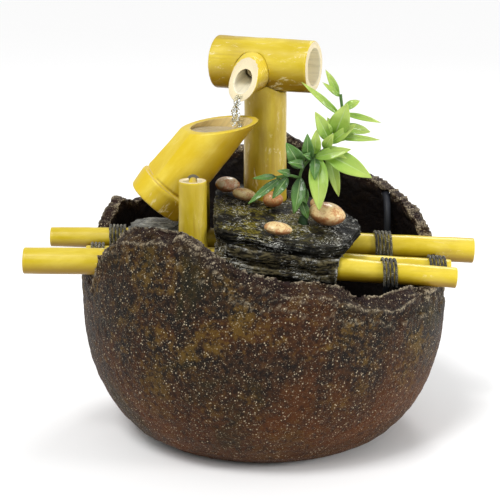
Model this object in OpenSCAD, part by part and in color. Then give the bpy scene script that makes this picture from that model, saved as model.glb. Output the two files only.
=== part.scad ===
/* [Pot] */
// Outside diameter of the pot at its belly
bowl_d = 250; // [230:1:300]
// Outside diameter of the pot's foot
foot_d = 164; // [140:1:180]
// Height of the belly above the table
belly_z = 98; // [80:1:110]
// Thickness of the pot's wall
wall = 10; // [7:0.5:12]
// Height of the inner floor above the table
floor_z = 14; // [10:0.5:22]
// Level of the pole seats in the torn rim
rim_z = 130; // [115:1:150]
// Diameter of the felt pad under the foot
pad_d = 150; // [100:1:160]
// Thickness of the felt pad
pad_t = 2; // [1:0.5:3]

/* [Poles] */
// Thick end of a long pole
pole_thick_d = 18; // [15:0.5:20]
// Thin end of a long pole
pole_thin_d = 14; // [10:0.5:15]
// Diameter of the short middle pole
pole_mid_d = 13; // [10:0.5:14]
// Distance of the front pole in front of the pot's axis
pole_front_y = -45; // [-50:1:-40]
// Place of the middle pole
pole_mid_y = -12; // [-16:1:-8]
// Distance of the back pole behind the pot's axis
pole_back_y = 21; // [18:1:26]
// How far the front pole stands out at the left
front_out_left = 34; // [10:1:60]
// How far the back pole stands out at the left
back_out_left = 24; // [10:1:60]
// How far the front pole stands out at the right
front_out_right = 2; // [0:1:60]
// How far the back pole stands out at the right
back_out_right = 22; // [10:1:60]
// Height of a node ring above the cane
node_rise = 0.8; // [0.3:0.1:1.5]
// Depth of the open core at a pole's end
core_depth = 14; // [6:1:25]

/* [Lashings] */
// Thickness of the lashing rope
rope_d = 2; // [1.5:0.1:2.2]
// Distance from one turn to the next
rope_pitch = 2.5; // [2.5:0.1:3.2]

/* [Slates] */
// Thickness of the top slate
slate_top_t = 8.3; // [6:0.1:12]
// Thickness of the lower slate
slate_low_t = 15; // [9:0.1:18]
// Rise of the slates towards the back, in degrees
slate_pitch = 7.4; // [4:0.1:9]
// Rise of the slates towards the left, in degrees
slate_roll = 8.5; // [5:0.1:10]
// Height of the top slate's front edge
slate_front_z = 146; // [144:0.5:152]

/* [Trough] */
// Outside diameter of the trough at its tail
trough_tail_d = 41; // [34:0.5:42]
// Outside diameter of the trough at its mouth
trough_mouth_d = 34.6; // [30:0.5:38]
// Diameter of the trough's chamber
trough_bore_d = 28; // [22:0.5:30]
// Angle of the resting trough above level
trough_rest = 50; // [46:1:54]
// Diameter of the pivot pin
pin_d = 5; // [3:0.1:6]
// Height of the pivot pin
pivot_z = 181; // [174:0.5:184]
// Place of the pivot pin along X
pivot_x = -47; // [-52:0.5:-44]
// Diameter of the pivot posts
post_d = 18.5; // [15:0.5:20]
// Wall of the pivot posts
post_wall = 3; // [2:0.25:4]

/* [Water column] */
// Diameter of the riser cane
riser_d = 29.5; // [26:0.5:32]
// Wall of the riser cane
riser_wall = 4; // [2.5:0.25:4.5]
// Place of the riser along X
riser_x = 1; // [-3:0.5:5]
// Place of the riser along Y
riser_y = 29; // [28:0.5:34]
// Diameter of the cross cane
head_d = 36; // [32:0.5:42]
// Length of the cross cane
head_len = 71; // [65:1:100]
// Height of the cross cane's axis
head_z = 249; // [240:1:270]
// Turn of the cross cane seen from above
head_yaw = 22; // [10:1:25]
// Wall of the cross cane
head_wall = 5.5; // [4:0.25:7]
// Diameter of the spout
spout_d = 20; // [18:0.5:24]
// Wall of the spout
spout_wall = 3.75; // [2:0.25:4]
// Length of the spout from the cross cane's axis to its lip
spout_len = 33; // [28:0.5:40]
// Fall of the spout, in degrees
spout_fall = 13; // [8:1:20]
// Outside diameter of the hose
hose_d = 9; // [7:0.5:9.5]
// Inside diameter of the hose
hose_bore = 6; // [4:0.5:7]

/* [Pump] */
// Length of the motor housing
pump_len = 46; // [42:1:54]
// Width of the motor housing
pump_w = 40; // [38:1:46]
// Height of the motor housing
pump_h = 40; // [38:1:46]
// Diameter of the rotor magnet
magnet_d = 14; // [10:0.5:14]
// Diameter of the rotor shaft
shaft_d = 2.5; // [1.5:0.1:3]
// Number of impeller blades
blades = 6; // [4:1:8]
// Diameter of the flow dial
dial_d = 18; // [14:0.5:22]

/* [Lead] */
// Diameter of the power lead
cord_d = 5; // [5:0.5:5]
// Turns in each layer of the coil
coil_turns = 3; // [2:1:3]

/* [Hidden] */
$fn = 64;

// Clearance between pieces that rest on each other
seat = 0.3;
// Running clearance of a pin or shaft in its hole, on the radius
run = 0.08;
// Overlap used only to cut cleanly through a face
cut = 1;

// The torn rim as heights above the pole seats: direction from +X in degrees, height of the outer lip
RIM_OUTER = [
    [0, -14], [6, -12], [9, -7], [12, -2], [15, 4], [20, 9], [25, 14], [31, 19], [36, 23], [44, 28], [52, 30],
    [60, 34], [70, 45], [81, 56], [92, 52], [105, 38], [120, 26], [134, 18], [140, 15], [145, 12], [149, 16],
    [153, 20], [157, 15], [161, 9], [165, 1], [169, -5], [180, -7], [190, -7], [197, -5], [202, -3], [206, 4],
    [213, 15], [222, 24], [234, 25], [243, 31], [250, 25], [258, 11], [260, -6], [272, -5], [280, 0], [288, -4],
    [298, -12], [311, -20], [325, -13], [338, -19], [352, -15], [360, -14]
];
// The same for the inner lip, which stands higher at the front
RIM_INNER = [
    [0, -13], [6, -11], [9, -6], [12, -1], [15, 5], [20, 10], [25, 15], [31, 20], [36, 24], [44, 29], [52, 32],
    [60, 36], [70, 47], [81, 58], [92, 54], [105, 40], [120, 28], [134, 20], [140, 17], [145, 14], [149, 18],
    [153, 22], [157, 17], [161, 10], [165, 2], [169, -4], [180, -6], [190, -6], [197, -3], [202, 2], [206, 11],
    [213, 22], [221, 31], [234, 34], [243, 33], [250, 27], [258, 17], [265, 11], [273, 7], [280, 5], [288, 5],
    [296, -1], [302, -9], [313, -9], [325, -10], [337, -17], [350, -14], [360, -13]
];
BOWL_SEGMENTS = 80;
OUTER_RINGS = 9;
INNER_RINGS = 7;
// Share of the belly's bulge that the foot's curve has reached, and how sharply the shoulder draws in
bulge_low = 2.3;
bulge_high = 1.4;
shoulder_in = 0.06;
shoulder_rise = 70;

function lerp(a, b, t) = a + (b - a) * t;
function unit(v) = v / norm(v);
function outer_r(z) = z < belly_z
    ? foot_d / 2 + (bowl_d - foot_d) / 2
        * pow(1 - pow((belly_z - z) / (belly_z - pad_t), bulge_low), 1 / bulge_high)
    : bowl_d / 2 * (1 - shoulder_in * pow((z - belly_z) / shoulder_rise, 2));
function polar(r, a, z) = [r * cos(a), r * sin(a), z];

// Cane axes: left end, kink at the middle node, right end, and the radius at each
kink_x = -5;
function pole_points(y, out_left, out_right, left_z, kink_z, right_z) = [
    [-bowl_d / 2 - out_left, y, rim_z + left_z],
    [kink_x, y, rim_z + kink_z],
    [bowl_d / 2 + out_right, y, rim_z + right_z]
];
FRONT = pole_points(pole_front_y, front_out_left, front_out_right, 0, -1.5, -12);
BACK = pole_points(pole_back_y, back_out_left, back_out_right, -1, -3, -11);
MIDDLE = pole_points(pole_mid_y, -4, 2, -5, -7, -15);
pole_mean_r = (pole_thick_d + pole_thin_d) / 4;
FRONT_R = [pole_thick_d / 2, pole_thick_d / 2, pole_thin_d / 2];
BACK_R = [pole_thin_d / 2, pole_mean_r, pole_thick_d / 2];
MIDDLE_R = [pole_mid_d / 2, pole_mid_d / 2, pole_mid_d / 2];

// Height of a pole's axis and its radius at a place along X
function pole_z(p, x) = x < p[1][0]
    ? lerp(p[0][2], p[1][2], (x - p[0][0]) / (p[1][0] - p[0][0]))
    : lerp(p[1][2], p[2][2], (x - p[1][0]) / (p[2][0] - p[1][0]));
function pole_r(p, r, x) = x < p[1][0]
    ? lerp(r[0], r[1], (x - p[0][0]) / (p[1][0] - p[0][0]))
    : lerp(r[1], r[2], (x - p[1][0]) / (p[2][0] - p[1][0]));
function pole_top(p, r, x) = pole_z(p, x) + pole_r(p, r, x);

// Puts +Z on the line from a to b, with the origin at a
module along(a, b) {
    d = b - a;
    translate(a)
        rotate([0, acos(d[2] / norm(d)), atan2(d[1], d[0])])
            children();
}

// Outline points of a node ring at height h on a cane of radius r
function node_ring(h, r) = [
    [r, h - 2.8],
    [r + node_rise, h - 1],
    [r + node_rise * 0.3, h],
    [r + node_rise * 0.7, h + 1],
    [r, h + 2.6]
];

// A cane standing on the XY plane, with node rings at the given heights
module cane(len, r1, r2, nodes = [], bevel = 0.5) {
    rotate_extrude()
        polygon(concat(
            [[0, 0], [r1 - bevel, 0], [r1, bevel]],
            [for (h = nodes) each node_ring(h, lerp(r1, r2, h / len))],
            [[r2, len - bevel], [r2 - bevel, len], [0, len]]
        ));
}

// Node ring round the kink, wide enough to cover both canes' ends
collar_half = 2.4;
module kink_collar(r) {
    rotate([0, 90, 0]) rotate_extrude() polygon([
        [0, -collar_half], [r + 0.4, -collar_half], [r + node_rise, -0.9], [r + node_rise * 0.4, 0],
        [r + node_rise, 0.9], [r + 0.4, collar_half], [0, collar_half]
    ]);
}

module pole(p, r, nodes_left, nodes_right) {
    difference() {
        union() {
            along(p[1], p[0]) cane(norm(p[0] - p[1]), r[1], r[0], nodes_left);
            along(p[1], p[2]) cane(norm(p[2] - p[1]), r[1], r[2], nodes_right);
            translate(p[1]) kink_collar(r[1]);
        }
        along(p[0], p[1]) translate([0, 0, -cut]) cylinder(r = r[0] * 0.45, h = core_depth + cut);
        along(p[2], p[1]) translate([0, 0, -cut]) cylinder(r = r[2] * 0.45, h = core_depth + cut);
    }
}

// The space a pole takes, with a seat's clearance, to cut into what lies on it
module pole_space(p, r, open_up = 0, gap = seat) {
    for (end = [0, 2])
        along(p[1], p[end]) {
            translate([0, 0, -cut])
                cylinder(r1 = r[1] + gap, r2 = r[end] + gap, h = norm(p[end] - p[1]) + cut);
            if (open_up > 0)
                translate([-open_up, -r[end] - gap, 0])
                    cube([open_up, 2 * r[end] + 2 * gap, norm(p[end] - p[1])]);
        }
    translate(p[1]) sphere(r = r[1] + node_rise + gap + 0.2);
}

module pole_front() { color("#d3bb3f") pole(FRONT, FRONT_R, [], []); }
module pole_back() { color("#d7c456") pole(BACK, BACK_R, [58], []); }
module pole_middle() { color("#b9a441") pole(MIDDLE, MIDDLE_R, [40], []); }

// Pot
module bowl_shell() {
    n = BOWL_SEGMENTS;
    function lip(a) = rim_z + lookup(a, RIM_OUTER);
    function crest(a) = rim_z + lookup(a, RIM_INNER);
    outside = [for (i = [0 : OUTER_RINGS]) let (t = pow(i / OUTER_RINGS, 1.35)) [for (j = [0 : n - 1])
        let (a = j * 360 / n, z = lerp(pad_t, lip(a), t)) polar(outer_r(z), a, z)]];
    inside = [for (i = [0 : INNER_RINGS]) let (t = 1 - pow(1 - i / INNER_RINGS, 1.35)) [for (j = [0 : n - 1])
        let (a = j * 360 / n, z = lerp(crest(a), floor_z, t)) polar(outer_r(z) - wall, a, z)]];
    rings = concat(outside, inside);
    m = len(rings);
    points = concat([for (ring = rings) each ring], [[0, 0, pad_t], [0, 0, floor_z]]);
    function at(i, j) = i * n + j % n;
    polyhedron(points, concat(
        [for (i = [0 : m - 2], j = [0 : n - 1]) each [
            [at(i, j), at(i + 1, j), at(i + 1, j + 1)],
            [at(i, j), at(i + 1, j + 1), at(i, j + 1)]
        ]],
        [for (j = [0 : n - 1]) [at(0, j), at(0, j + 1), m * n]],
        [for (j = [0 : n - 1]) [at(m - 1, j + 1), at(m - 1, j), m * n + 1]]
    ), convexity = 8);
}

module bowl() {
    color("#4a3628") difference() {
        bowl_shell();
        pole_space(FRONT, FRONT_R, 60);
        pole_space(BACK, BACK_R, 60);
        pole_space(MIDDLE, MIDDLE_R, 60, rope_d + 2 * seat);
        translate([lead_x, 0, lead_top - 0.3]) rotate([-90, 0, 0]) cylinder(d = cord_d + 2.2, h = bowl_d);
    }
}

module base_pad() { color("#2b2b2b") cylinder(d = pad_d, h = pad_t); }

// Round tube swept along points, with a closed flat end at each end
function turned(path, n0) = let (m = len(path)) [
    for (i = 0, n = n0; i < m;
        t = unit(path[min(i + 2, m - 1)] - path[min(i, m - 2)]),
        n = unit(n - (n * t) * t), i = i + 1) n
];
module sweep(path, r, sides, start) {
    m = len(path);
    tangent = [for (i = [0 : m - 1]) unit(path[min(i + 1, m - 1)] - path[max(i - 1, 0)])];
    normal = turned(path, unit(start - (start * tangent[0]) * tangent[0]));
    points = [for (i = [0 : m - 1]) let (b = cross(tangent[i], normal[i])) for (k = [0 : sides - 1])
        path[i] + r * (cos(k * 360 / sides) * normal[i] + sin(k * 360 / sides) * b)];
    polyhedron(points, concat(
        [[for (k = [0 : sides - 1]) k]],
        [for (i = [0 : m - 2], k = [0 : sides - 1]) let (q = (k + 1) % sides) each [
            [i * sides + k, (i + 1) * sides + k, (i + 1) * sides + q],
            [i * sides + k, (i + 1) * sides + q, i * sides + q]
        ]],
        [[for (k = [sides - 1 : -1 : 0]) (m - 1) * sides + k]]
    ), convexity = 10);
}

// Least distance between the surfaces of two stretches of one tube, measured on its points
function self_gap(path, d, apart) =
    min([for (i = [0 : len(path) - 1], j = [i + apart : 1 : len(path) - 1]) norm(path[i] - path[j])]) - d;

// Lashings: one rope wound along a cane
RINGS_PER_TURN = 24;
function wound(r, turns) = concat(
    [[r, -rope_d, 0]],
    [for (i = [0 : turns * RINGS_PER_TURN])
        let (a = i * 360 / RINGS_PER_TURN) [r * cos(a), r * sin(a), i * rope_pitch / RINGS_PER_TURN]],
    [[r, rope_d, turns * rope_pitch]]
);
module lashing(p, pr, x, turns) {
    r = pole_r(p, pr, x) + rope_d / 2 + seat;
    path = wound(r, turns);
    echo(lashing_gap = self_gap(path, rope_d, RINGS_PER_TURN / 2));
    half = [rope_pitch * turns / 2, 0, 0];
    at = [x, p[0][1], pole_z(p, x)];
    slope = x < p[1][0] ? unit(p[1] - p[0]) : unit(p[2] - p[1]);
    along(at - slope * half[0], at)
        rotate([0, 0, 200]) sweep(path, rope_d / 2, 6, [1, 0, 0]);
}
module lashing_front_right() { color("#6f6550") lashing(FRONT, FRONT_R, 82, 4); }
module lashing_back_right() { color("#6f6550") lashing(BACK, BACK_R, 83, 5); }
module lashing_back_left() { color("#5e5648") lashing(BACK, BACK_R, -101.5, 5); }
module lashing_middle_left() { color("#5e5648") lashing(MIDDLE, MIDDLE_R, 7.5 - bowl_d / 2 + wall / 2, 4); }
module lashing_middle_right() { color("#5e5648") lashing(MIDDLE, MIDDLE_R, bowl_d / 2 - 7.5, 5); }

// Slates lie parallel on a plane that rises to the back and to the left
slate_pivot = [16, -60, slate_front_z];
module slate_frame(down = 0) {
    translate(slate_pivot)
        rotate([slate_pitch, slate_roll, 0])
            translate([-slate_pivot[0], -slate_pivot[1], -down])
                children();
}
// Height of the top slate's upper face over a place
function slate_z(x, y) = slate_pivot[2]
    + (y - slate_pivot[1]) * tan(slate_pitch) / cos(slate_roll)
    - (x - slate_pivot[0]) * tan(slate_roll);

TOP_OUTLINE = [
    [-35, -32], [-33, -54], [-24, -60], [-8, -58], [4, -63], [18, -61], [30, -64], [44, -58], [56, -48],
    [60, -34], [66, -16], [64, 4], [56, 18], [42, 30], [24, 44], [-2, 47], [-22, 42], [-34, 32], [-36, 4]
];
CAP_OUTLINE = [
    [-34, -33], [-32, -53], [-23, -58.5], [-8, -56.5], [4, -61.5], [18, -59.5], [30, -62.5], [43.5, -56.5],
    [54.5, -47], [58.5, -34], [64.5, -16], [55, 13], [45, 20], [30, 15], [15, 9], [-5, 2], [-19, -5], [-29, -14],
    [-33.5, -23]
];
LOW_OUTLINE = [
    [-31, -44], [-24, -56], [-6, -62], [16, -60], [38, -62], [50, -55], [54, -42], [50, -22], [52, -2],
    [40, 12], [14, 14], [-14, 12], [-33, 8], [-30, -18]
];
LOW_SPLIT = [
    [-28, -40], [-20, -52], [-4, -58], [18, -56], [40, -57], [52, -50], [57, -38], [52, -20], [54, -4],
    [38, 8], [10, 10], [-16, 8], [-30, 4], [-27, -16]
];

// How much wider the riser is at its foot, on the radius
riser_flare = 0.6;
module riser_hole() {
    translate([riser_x, riser_y, rim_z - 30]) cylinder(d = riser_d + 2 * riser_flare + 2 * seat, h = 80);
}

// The top slate is split: a ledge at the back, on which the full-height front part rises in one step
ledge_h = 1.6;
slate_under_t = 3.5;
module slate_top() {
    color("#5c5b42") difference() {
        union() {
            slate_frame(slate_top_t) linear_extrude(slate_under_t) polygon([for (q = TOP_OUTLINE) q * 0.97]);
            slate_frame(slate_top_t - slate_under_t + 0.01)
                linear_extrude(slate_top_t - slate_under_t - ledge_h) polygon(TOP_OUTLINE);
            slate_frame(ledge_h + 0.01) linear_extrude(ledge_h) polygon(CAP_OUTLINE);
        }
        riser_hole();
        plant_socket();
    }
}

module slate_lower() {
    t = slate_low_t;
    color("#4d4a38") difference() {
        union() {
            slate_frame(slate_top_t + seat + t * 0.45) linear_extrude(t * 0.45) polygon(LOW_OUTLINE);
            slate_frame(slate_top_t + seat + t * 0.75) linear_extrude(t * 0.3 + 0.01) polygon(LOW_SPLIT);
            slate_frame(slate_top_t + seat + t) linear_extrude(t * 0.25 + 0.01) polygon(LOW_OUTLINE);
        }
        pole_space(FRONT, FRONT_R);
        pole_space(MIDDLE, MIDDLE_R);
        pole_space(BACK, BACK_R);
        riser_hole();
    }
}

// Stone block that carries the slates' high back edge on the back pole
module slate_packer() {
    color("#3f3d33") difference() {
        intersection() {
            translate([-34, pole_back_y - 4, rim_z - 4]) cube([82, 26, 60]);
            slate_frame(slate_top_t + seat + 60) linear_extrude(60) translate([-50, -70]) square([140, 140]);
        }
        pole_space(BACK, BACK_R);
        riser_hole();
    }
}

// Stone that the trough's tail knocks on
stone_top = 147.4;
module knock_stone() {
    outline = [[-91, -24], [-80, -29], [-66, -27], [-57, -20], [-55, -6], [-60, 5], [-74, 8], [-88, 2], [-93, -10]];
    color("#8d8d88") difference() {
        union() {
            translate([0, 0, rim_z]) linear_extrude(stone_top - rim_z - 3) polygon(outline);
            translate([0, 0, rim_z + 4]) linear_extrude(stone_top - rim_z - 4)
                translate([-74, -10]) polygon([for (q = outline) 0.9 * (q - [-74, -10])]);
        }
        pole_space(FRONT, FRONT_R);
        pole_space(MIDDLE, MIDDLE_R);
        pole_space(BACK, BACK_R);
    }
}

// Pebble: a flattened ball with a softened, slightly uneven outline
module pebble(size, seed) {
    rows = 8;
    cols = 14;
    function bump(i, k) = 1 + 0.05 * sin(k * 360 * 2 / cols + seed * 70) + 0.03 * cos(i * 90 + k * 360 * 3 / cols);
    function spot(i, k) = let (e = -90 + i * 180 / rows, a = k * 360 / cols, f = bump(i, k)) [
        size[0] / 2 * f * cos(e) * cos(a),
        size[1] / 2 * f * cos(e) * sin(a),
        size[2] / 2 * sin(e)
    ];
    points = concat([[0, 0, -size[2] / 2]], [for (i = [1 : rows - 1], k = [0 : cols - 1]) spot(i, k)],
        [[0, 0, size[2] / 2]]);
    top = len(points) - 1;
    function at(i, k) = 1 + (i - 1) * cols + k % cols;
    polyhedron(points, concat(
        [for (k = [0 : cols - 1]) [0, at(1, k), at(1, k + 1)]],
        [for (i = [1 : rows - 2], k = [0 : cols - 1]) each [
            [at(i, k), at(i + 1, k), at(i + 1, k + 1)],
            [at(i, k), at(i + 1, k + 1), at(i, k + 1)]
        ]],
        [for (k = [0 : cols - 1]) [at(rows - 1, k), top, at(rows - 1, k + 1)]]
    ));
}
// Place on the slate, size, turn and step down of each pebble
PEBBLES = [
    [-26, 20, [18, 14, 11], 10, ledge_h],
    [-14, 8, [17, 9, 9], -12, ledge_h],
    [5, -1, [14, 12, 11], 20, 0],
    [8, -49, [20, 12, 8], 8, 0],
    [41, -18, [27, 20, 15], -6, 0],
    [35, 7, [9, 8, 8], 0, 0],
    [23, 34, [8, 8, 8], 30, ledge_h]
];
module pebbles() {
    color("#c8a878") for (i = [0 : len(PEBBLES) - 1]) let (q = PEBBLES[i])
        translate([q[0], q[1], slate_z(q[0], q[1]) - q[4] + seat])
            rotate([slate_pitch, slate_roll, 0])
                translate([0, 0, q[2][2] / 2]) rotate([0, 0, q[3]]) pebble(q[2], i);
}

// Trough movement. The trough's own frame has +Z along its axis from the tail
pivot = [pivot_x, pole_mid_y, pivot_z];
pin_along = 32;
pin_under = 7.8;
chamber_bottom = 38;
tail_bore_d = 30;
tail_bore_depth = 20;
groove_at = 16;
trough_len = 92;
mouth_slope = 6;
mouth_lean = 7.5;
mouth_z = 213;
facet_at = 17.1;
facet_turn = -158;
pin_r = pin_d / 2;

module trough_frame() {
    translate(pivot)
        rotate([0, 90 - trough_rest, 0])
            translate([-pin_under, 0, -pin_along])
                children();
}
module trough() {
    tail_r = trough_tail_d / 2;
    mouth_r = trough_mouth_d / 2;
    function wall_r(t) = lerp(tail_r, mouth_r, t / trough_len);
    color("#d9c22c") difference() {
        trough_frame() difference() {
            rotate_extrude() polygon([
                [0, 0], [tail_r - 0.9, 0], [tail_r - 0.2, 0.7], [tail_r + 0.5, groove_at * 0.5],
                [tail_r + 0.9, groove_at - 3], [tail_r + 0.6, groove_at - 1], [tail_r - 1.1, groove_at - 0.5],
                [tail_r - 1.1, groove_at + 0.5], [wall_r(groove_at) + 0.2, groove_at + 1.6],
                [wall_r(groove_at + 8), groove_at + 8], [wall_r(trough_len * 0.6) + 0.3, trough_len * 0.6],
                [mouth_r, trough_len], [0, trough_len]
            ]);
            translate([0, 0, chamber_bottom]) cylinder(d = trough_bore_d, h = trough_len);
            translate([0, 0, -cut]) cylinder(d = tail_bore_d, h = tail_bore_depth + cut);
            translate([pin_under, 0, pin_along]) rotate([90, 0, 0]) cylinder(r = pin_r + run, h = 60, center = true);
            rotate([0, 0, facet_turn]) translate([facet_at, -30, groove_at + 0.5]) cube([20, 60, trough_len]);
        }
        translate([pivot_x, pole_mid_y, mouth_z]) rotate([mouth_lean, -mouth_slope, 0])
            translate([-60, -40, 0]) cube([160, 80, 60]);
    }
}
module tail_plug() {
    color("#b08d57") trough_frame() difference() {
        translate([0, 0, 1.5]) cylinder(d = tail_bore_d - 2 * seat, h = tail_bore_depth - 1.5 - seat);
        translate([0, 0, 8]) cylinder(d = 20 + 2 * seat, h = tail_bore_depth);
    }
}
module tail_weight() {
    color("#8a8f94") trough_frame() translate([0, 0, 8 + seat]) cylinder(d = 20, h = 8);
}

post_top = 184;
washer_t = 1.2;
pin_front_y = pole_front_y - post_d / 2 + post_wall + 0.6;
pin_rear_y = pole_back_y + post_d / 2 - post_wall - 0.6;
module pivot_pin() {
    color("#3a3026") translate([pivot_x, pin_front_y, pivot_z]) rotate([-90, 0, 0])
        cylinder(r = pin_r, h = pin_rear_y - pin_front_y);
}
// The notch for the pin faces the trough: side is 1 towards the back and -1 towards the front
module pivot_post(y, p, r, side) {
    foot = pole_top(p, r, pivot_x);
    difference() {
        translate([pivot_x, y, foot - pole_mean_r]) cane(post_top - foot + pole_mean_r, post_d / 2 + 0.4, post_d / 2);
        translate([pivot_x, y, foot + 14]) cylinder(d = post_d - 2 * post_wall, h = post_top - foot);
        pole_space(p, r);
        translate([pivot_x, y, pivot_z]) rotate([-90 * side, 0, 0]) {
            cylinder(r = pin_r + run, h = post_d);
            translate([-pin_r - run, side > 0 ? -20 : 0, 0]) cube([2 * (pin_r + run), 20, post_d]);
        }
        translate([pivot_x - 40, y - 40, foot - pole_mean_r - cut]) cube([80, 80, cut + 0.01]);
    }
}
module pivot_post_front() { color("#d3bd2f") pivot_post(pole_front_y, FRONT, FRONT_R, 1); }
module pivot_post_rear() { color("#c9b22d") pivot_post(pole_back_y, BACK, BACK_R, -1); }
module pivot_washers() {
    trough_half = trough_tail_d / 2;
    spots = [
        (pole_front_y + post_d / 2 + pole_mid_y - trough_half) / 2,
        (pole_back_y - post_d / 2 + pole_mid_y + trough_half) / 2
    ];
    color("#6d6a60") for (y = spots)
        translate([pivot_x, y, pivot_z]) rotate([90, 0, 0]) difference() {
            cylinder(r = pin_r + 2, h = washer_t, center = true);
            cylinder(r = pin_r + run, h = washer_t + cut, center = true);
        }
}

// Water column
head_c = [riser_x, riser_y, head_z];
riser_foot = pole_top(BACK, BACK_R, riser_x);
module head_axis() { translate(head_c) rotate([0, 0, -head_yaw]) children(); }
hose_y = pole_back_y + pole_mean_r + 1.1 + hose_d / 2;

module riser_tube() {
    base = riser_foot - pole_mean_r;
    color("#cdb531") difference() {
        translate([riser_x, riser_y, base])
            cane(head_z - base, riser_d / 2 + riser_flare, riser_d / 2 - riser_flare / 2);
        translate([riser_x, riser_y, base - cut]) cylinder(d = riser_d - 2 * riser_wall, h = head_z);
        head_axis() rotate([0, 90, 0]) cylinder(d = head_d + 2 * seat, h = head_len * 2, center = true);
        spout_space();
        pole_space(BACK, BACK_R);
    }
}

septum_left = 10;
septum_right = 23;
module head_tube() {
    r = head_d / 2;
    color("#d8c23c") difference() {
        head_axis() rotate([0, 90, 0]) difference() {
            translate([0, 0, -head_len / 2]) cane(head_len, r + 0.3, r - 0.2, [], 0.8);
            translate([0, 0, head_len / 2 - septum_right]) cylinder(d = head_d - 2 * head_wall, h = head_len);
            translate([0, 0, -head_len / 2 - cut]) cylinder(d = head_d - 2 * head_wall, h = septum_left + cut);
            translate([0, 0, spout_side]) cylinder(d = head_d - 2 * head_wall, h = chamber_len, center = true);
        }
        spout_space();
        spout_frame() cylinder(r = hose_d - 1, h = spout_root);
        translate([riser_x, hose_y, head_z - head_d]) cylinder(d = hose_d + 7, h = head_d);
    }
}

// The spout's own frame has +Z along it, from the cross cane's axis outwards, and +Y upwards
spout_side = -3.5;
spout_root = 13;
spout_scoop = 48;
spout_root_r = spout_d / 2 + 3.2;
spout_taper_to = spout_len - 3;
chamber_len = 26;
function spout_r(t) = lerp(spout_root_r, spout_d / 2, min(1, (t - spout_root) / (spout_taper_to - spout_root)));
spout_tip = spout_len + spout_d / 2 * tan(spout_scoop);
module spout_frame() {
    head_axis() translate([spout_side, 0, 0]) rotate([90 + spout_fall, 0, 0]) children();
}
module spout_space() {
    spout_frame() translate([0, 0, spout_root - seat])
        cylinder(r1 = spout_root_r + seat, r2 = spout_d / 2 + seat, h = spout_taper_to - spout_root + seat);
}
module spout_tube() {
    ribs = [for (t = [19 : 2 : 25]) each [[spout_r(t - 0.8), t - 0.8], [spout_r(t) + 0.35, t], [spout_r(t + 0.6), t + 0.6]]];
    color("#dccb55") spout_frame() difference() {
        rotate_extrude() polygon(concat(
            [[0, spout_root], [spout_root_r, spout_root]], ribs,
            [[spout_d / 2, spout_taper_to], [spout_d / 2, spout_tip + cut], [0, spout_tip + cut]]
        ));
        cylinder(d = spout_d - 2 * spout_wall, h = spout_tip + 2 * cut);
        translate([0, 0, spout_len]) rotate([-spout_scoop, 0, 0]) translate([-30, -60, 0]) cube([60, 120, 60]);
        translate([0, -spout_d / 2, spout_tip]) rotate([0, 0, 45]) cube([3, 3, 8], center = true);
    }
}

hose_bend = 18;
hose_top = head_z - 2.5;
hose_lip = 1;
hose_grip = 8;
// The bend ends on the spout's axis
hose_turn = head_yaw - asin((spout_side + (hose_y - riser_y) * sin(head_yaw)) / hose_bend);
// The bend's wall is a little thicker than the straight runs, on both faces
hose_swell = 0.2;
module hose_section(swell = 0) {
    difference() {
        circle(d = hose_d + swell);
        circle(d = hose_bore - swell);
    }
}
module hose() {
    foot = pump_nozzle_top - hose_grip;
    color("#39444a") {
        translate([riser_x, hose_y, foot]) linear_extrude(hose_top - hose_bend - foot) hose_section();
        translate([riser_x, hose_y, hose_top - hose_bend]) rotate([0, 0, -hose_turn]) {
            translate([0, -hose_bend, 0]) rotate([90, 0, 90])
                rotate_extrude(angle = 90) translate([hose_bend, 0]) hose_section(hose_swell);
            translate([0, -hose_bend, hose_bend]) rotate([90, 0, 0]) linear_extrude(hose_lip) hose_section();
        }
    }
}

// Pump: the rotor turns about X, the outlet points up into the hose
cup_h = 5;
pump_z = floor_z + cup_h + pump_h / 2;
pump_c = [riser_x, hose_y, pump_z];
chamber_r = 18;
chamber_w = 16;
house_x = chamber_w / 2 + 0.5;
well_r = magnet_d / 2 + 0.8;
well_wall = 1.5;
well_depth = 30;
house_wall = 2.5;
house_round = 6;
pump_nozzle_top = pump_z + chamber_r + 18;
module pump_frame() { translate(pump_c) children(); }
module rounded_block(x0, len, w, h, r) {
    translate([x0, 0, 0]) rotate([90, 0, 90]) linear_extrude(len)
        for (sx = [-1, 1], sy = [-1, 1]) {
            translate([sx * (w / 2 - r), sy * (h / 2 - r)]) circle(r = r);
            square([w, h - 2 * r], center = true);
            square([w - 2 * r, h], center = true);
        }
}
module along_x(x) { translate([x, 0, 0]) rotate([0, 90, 0]) children(); }

module pump_housing() {
    color("#22262a") pump_frame() difference() {
        union() {
            difference() {
                rounded_block(house_x, pump_len, pump_w, pump_h, house_round);
                rounded_block(house_x + house_wall, pump_len, pump_w - 2 * house_wall, pump_h - 2 * house_wall,
                    house_round - house_wall);
            }
            along_x(house_x) cylinder(r = well_r + well_wall, h = well_depth + well_wall);
        }
        along_x(house_x - cut) cylinder(r = well_r, h = well_depth + cut);
    }
}

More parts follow.
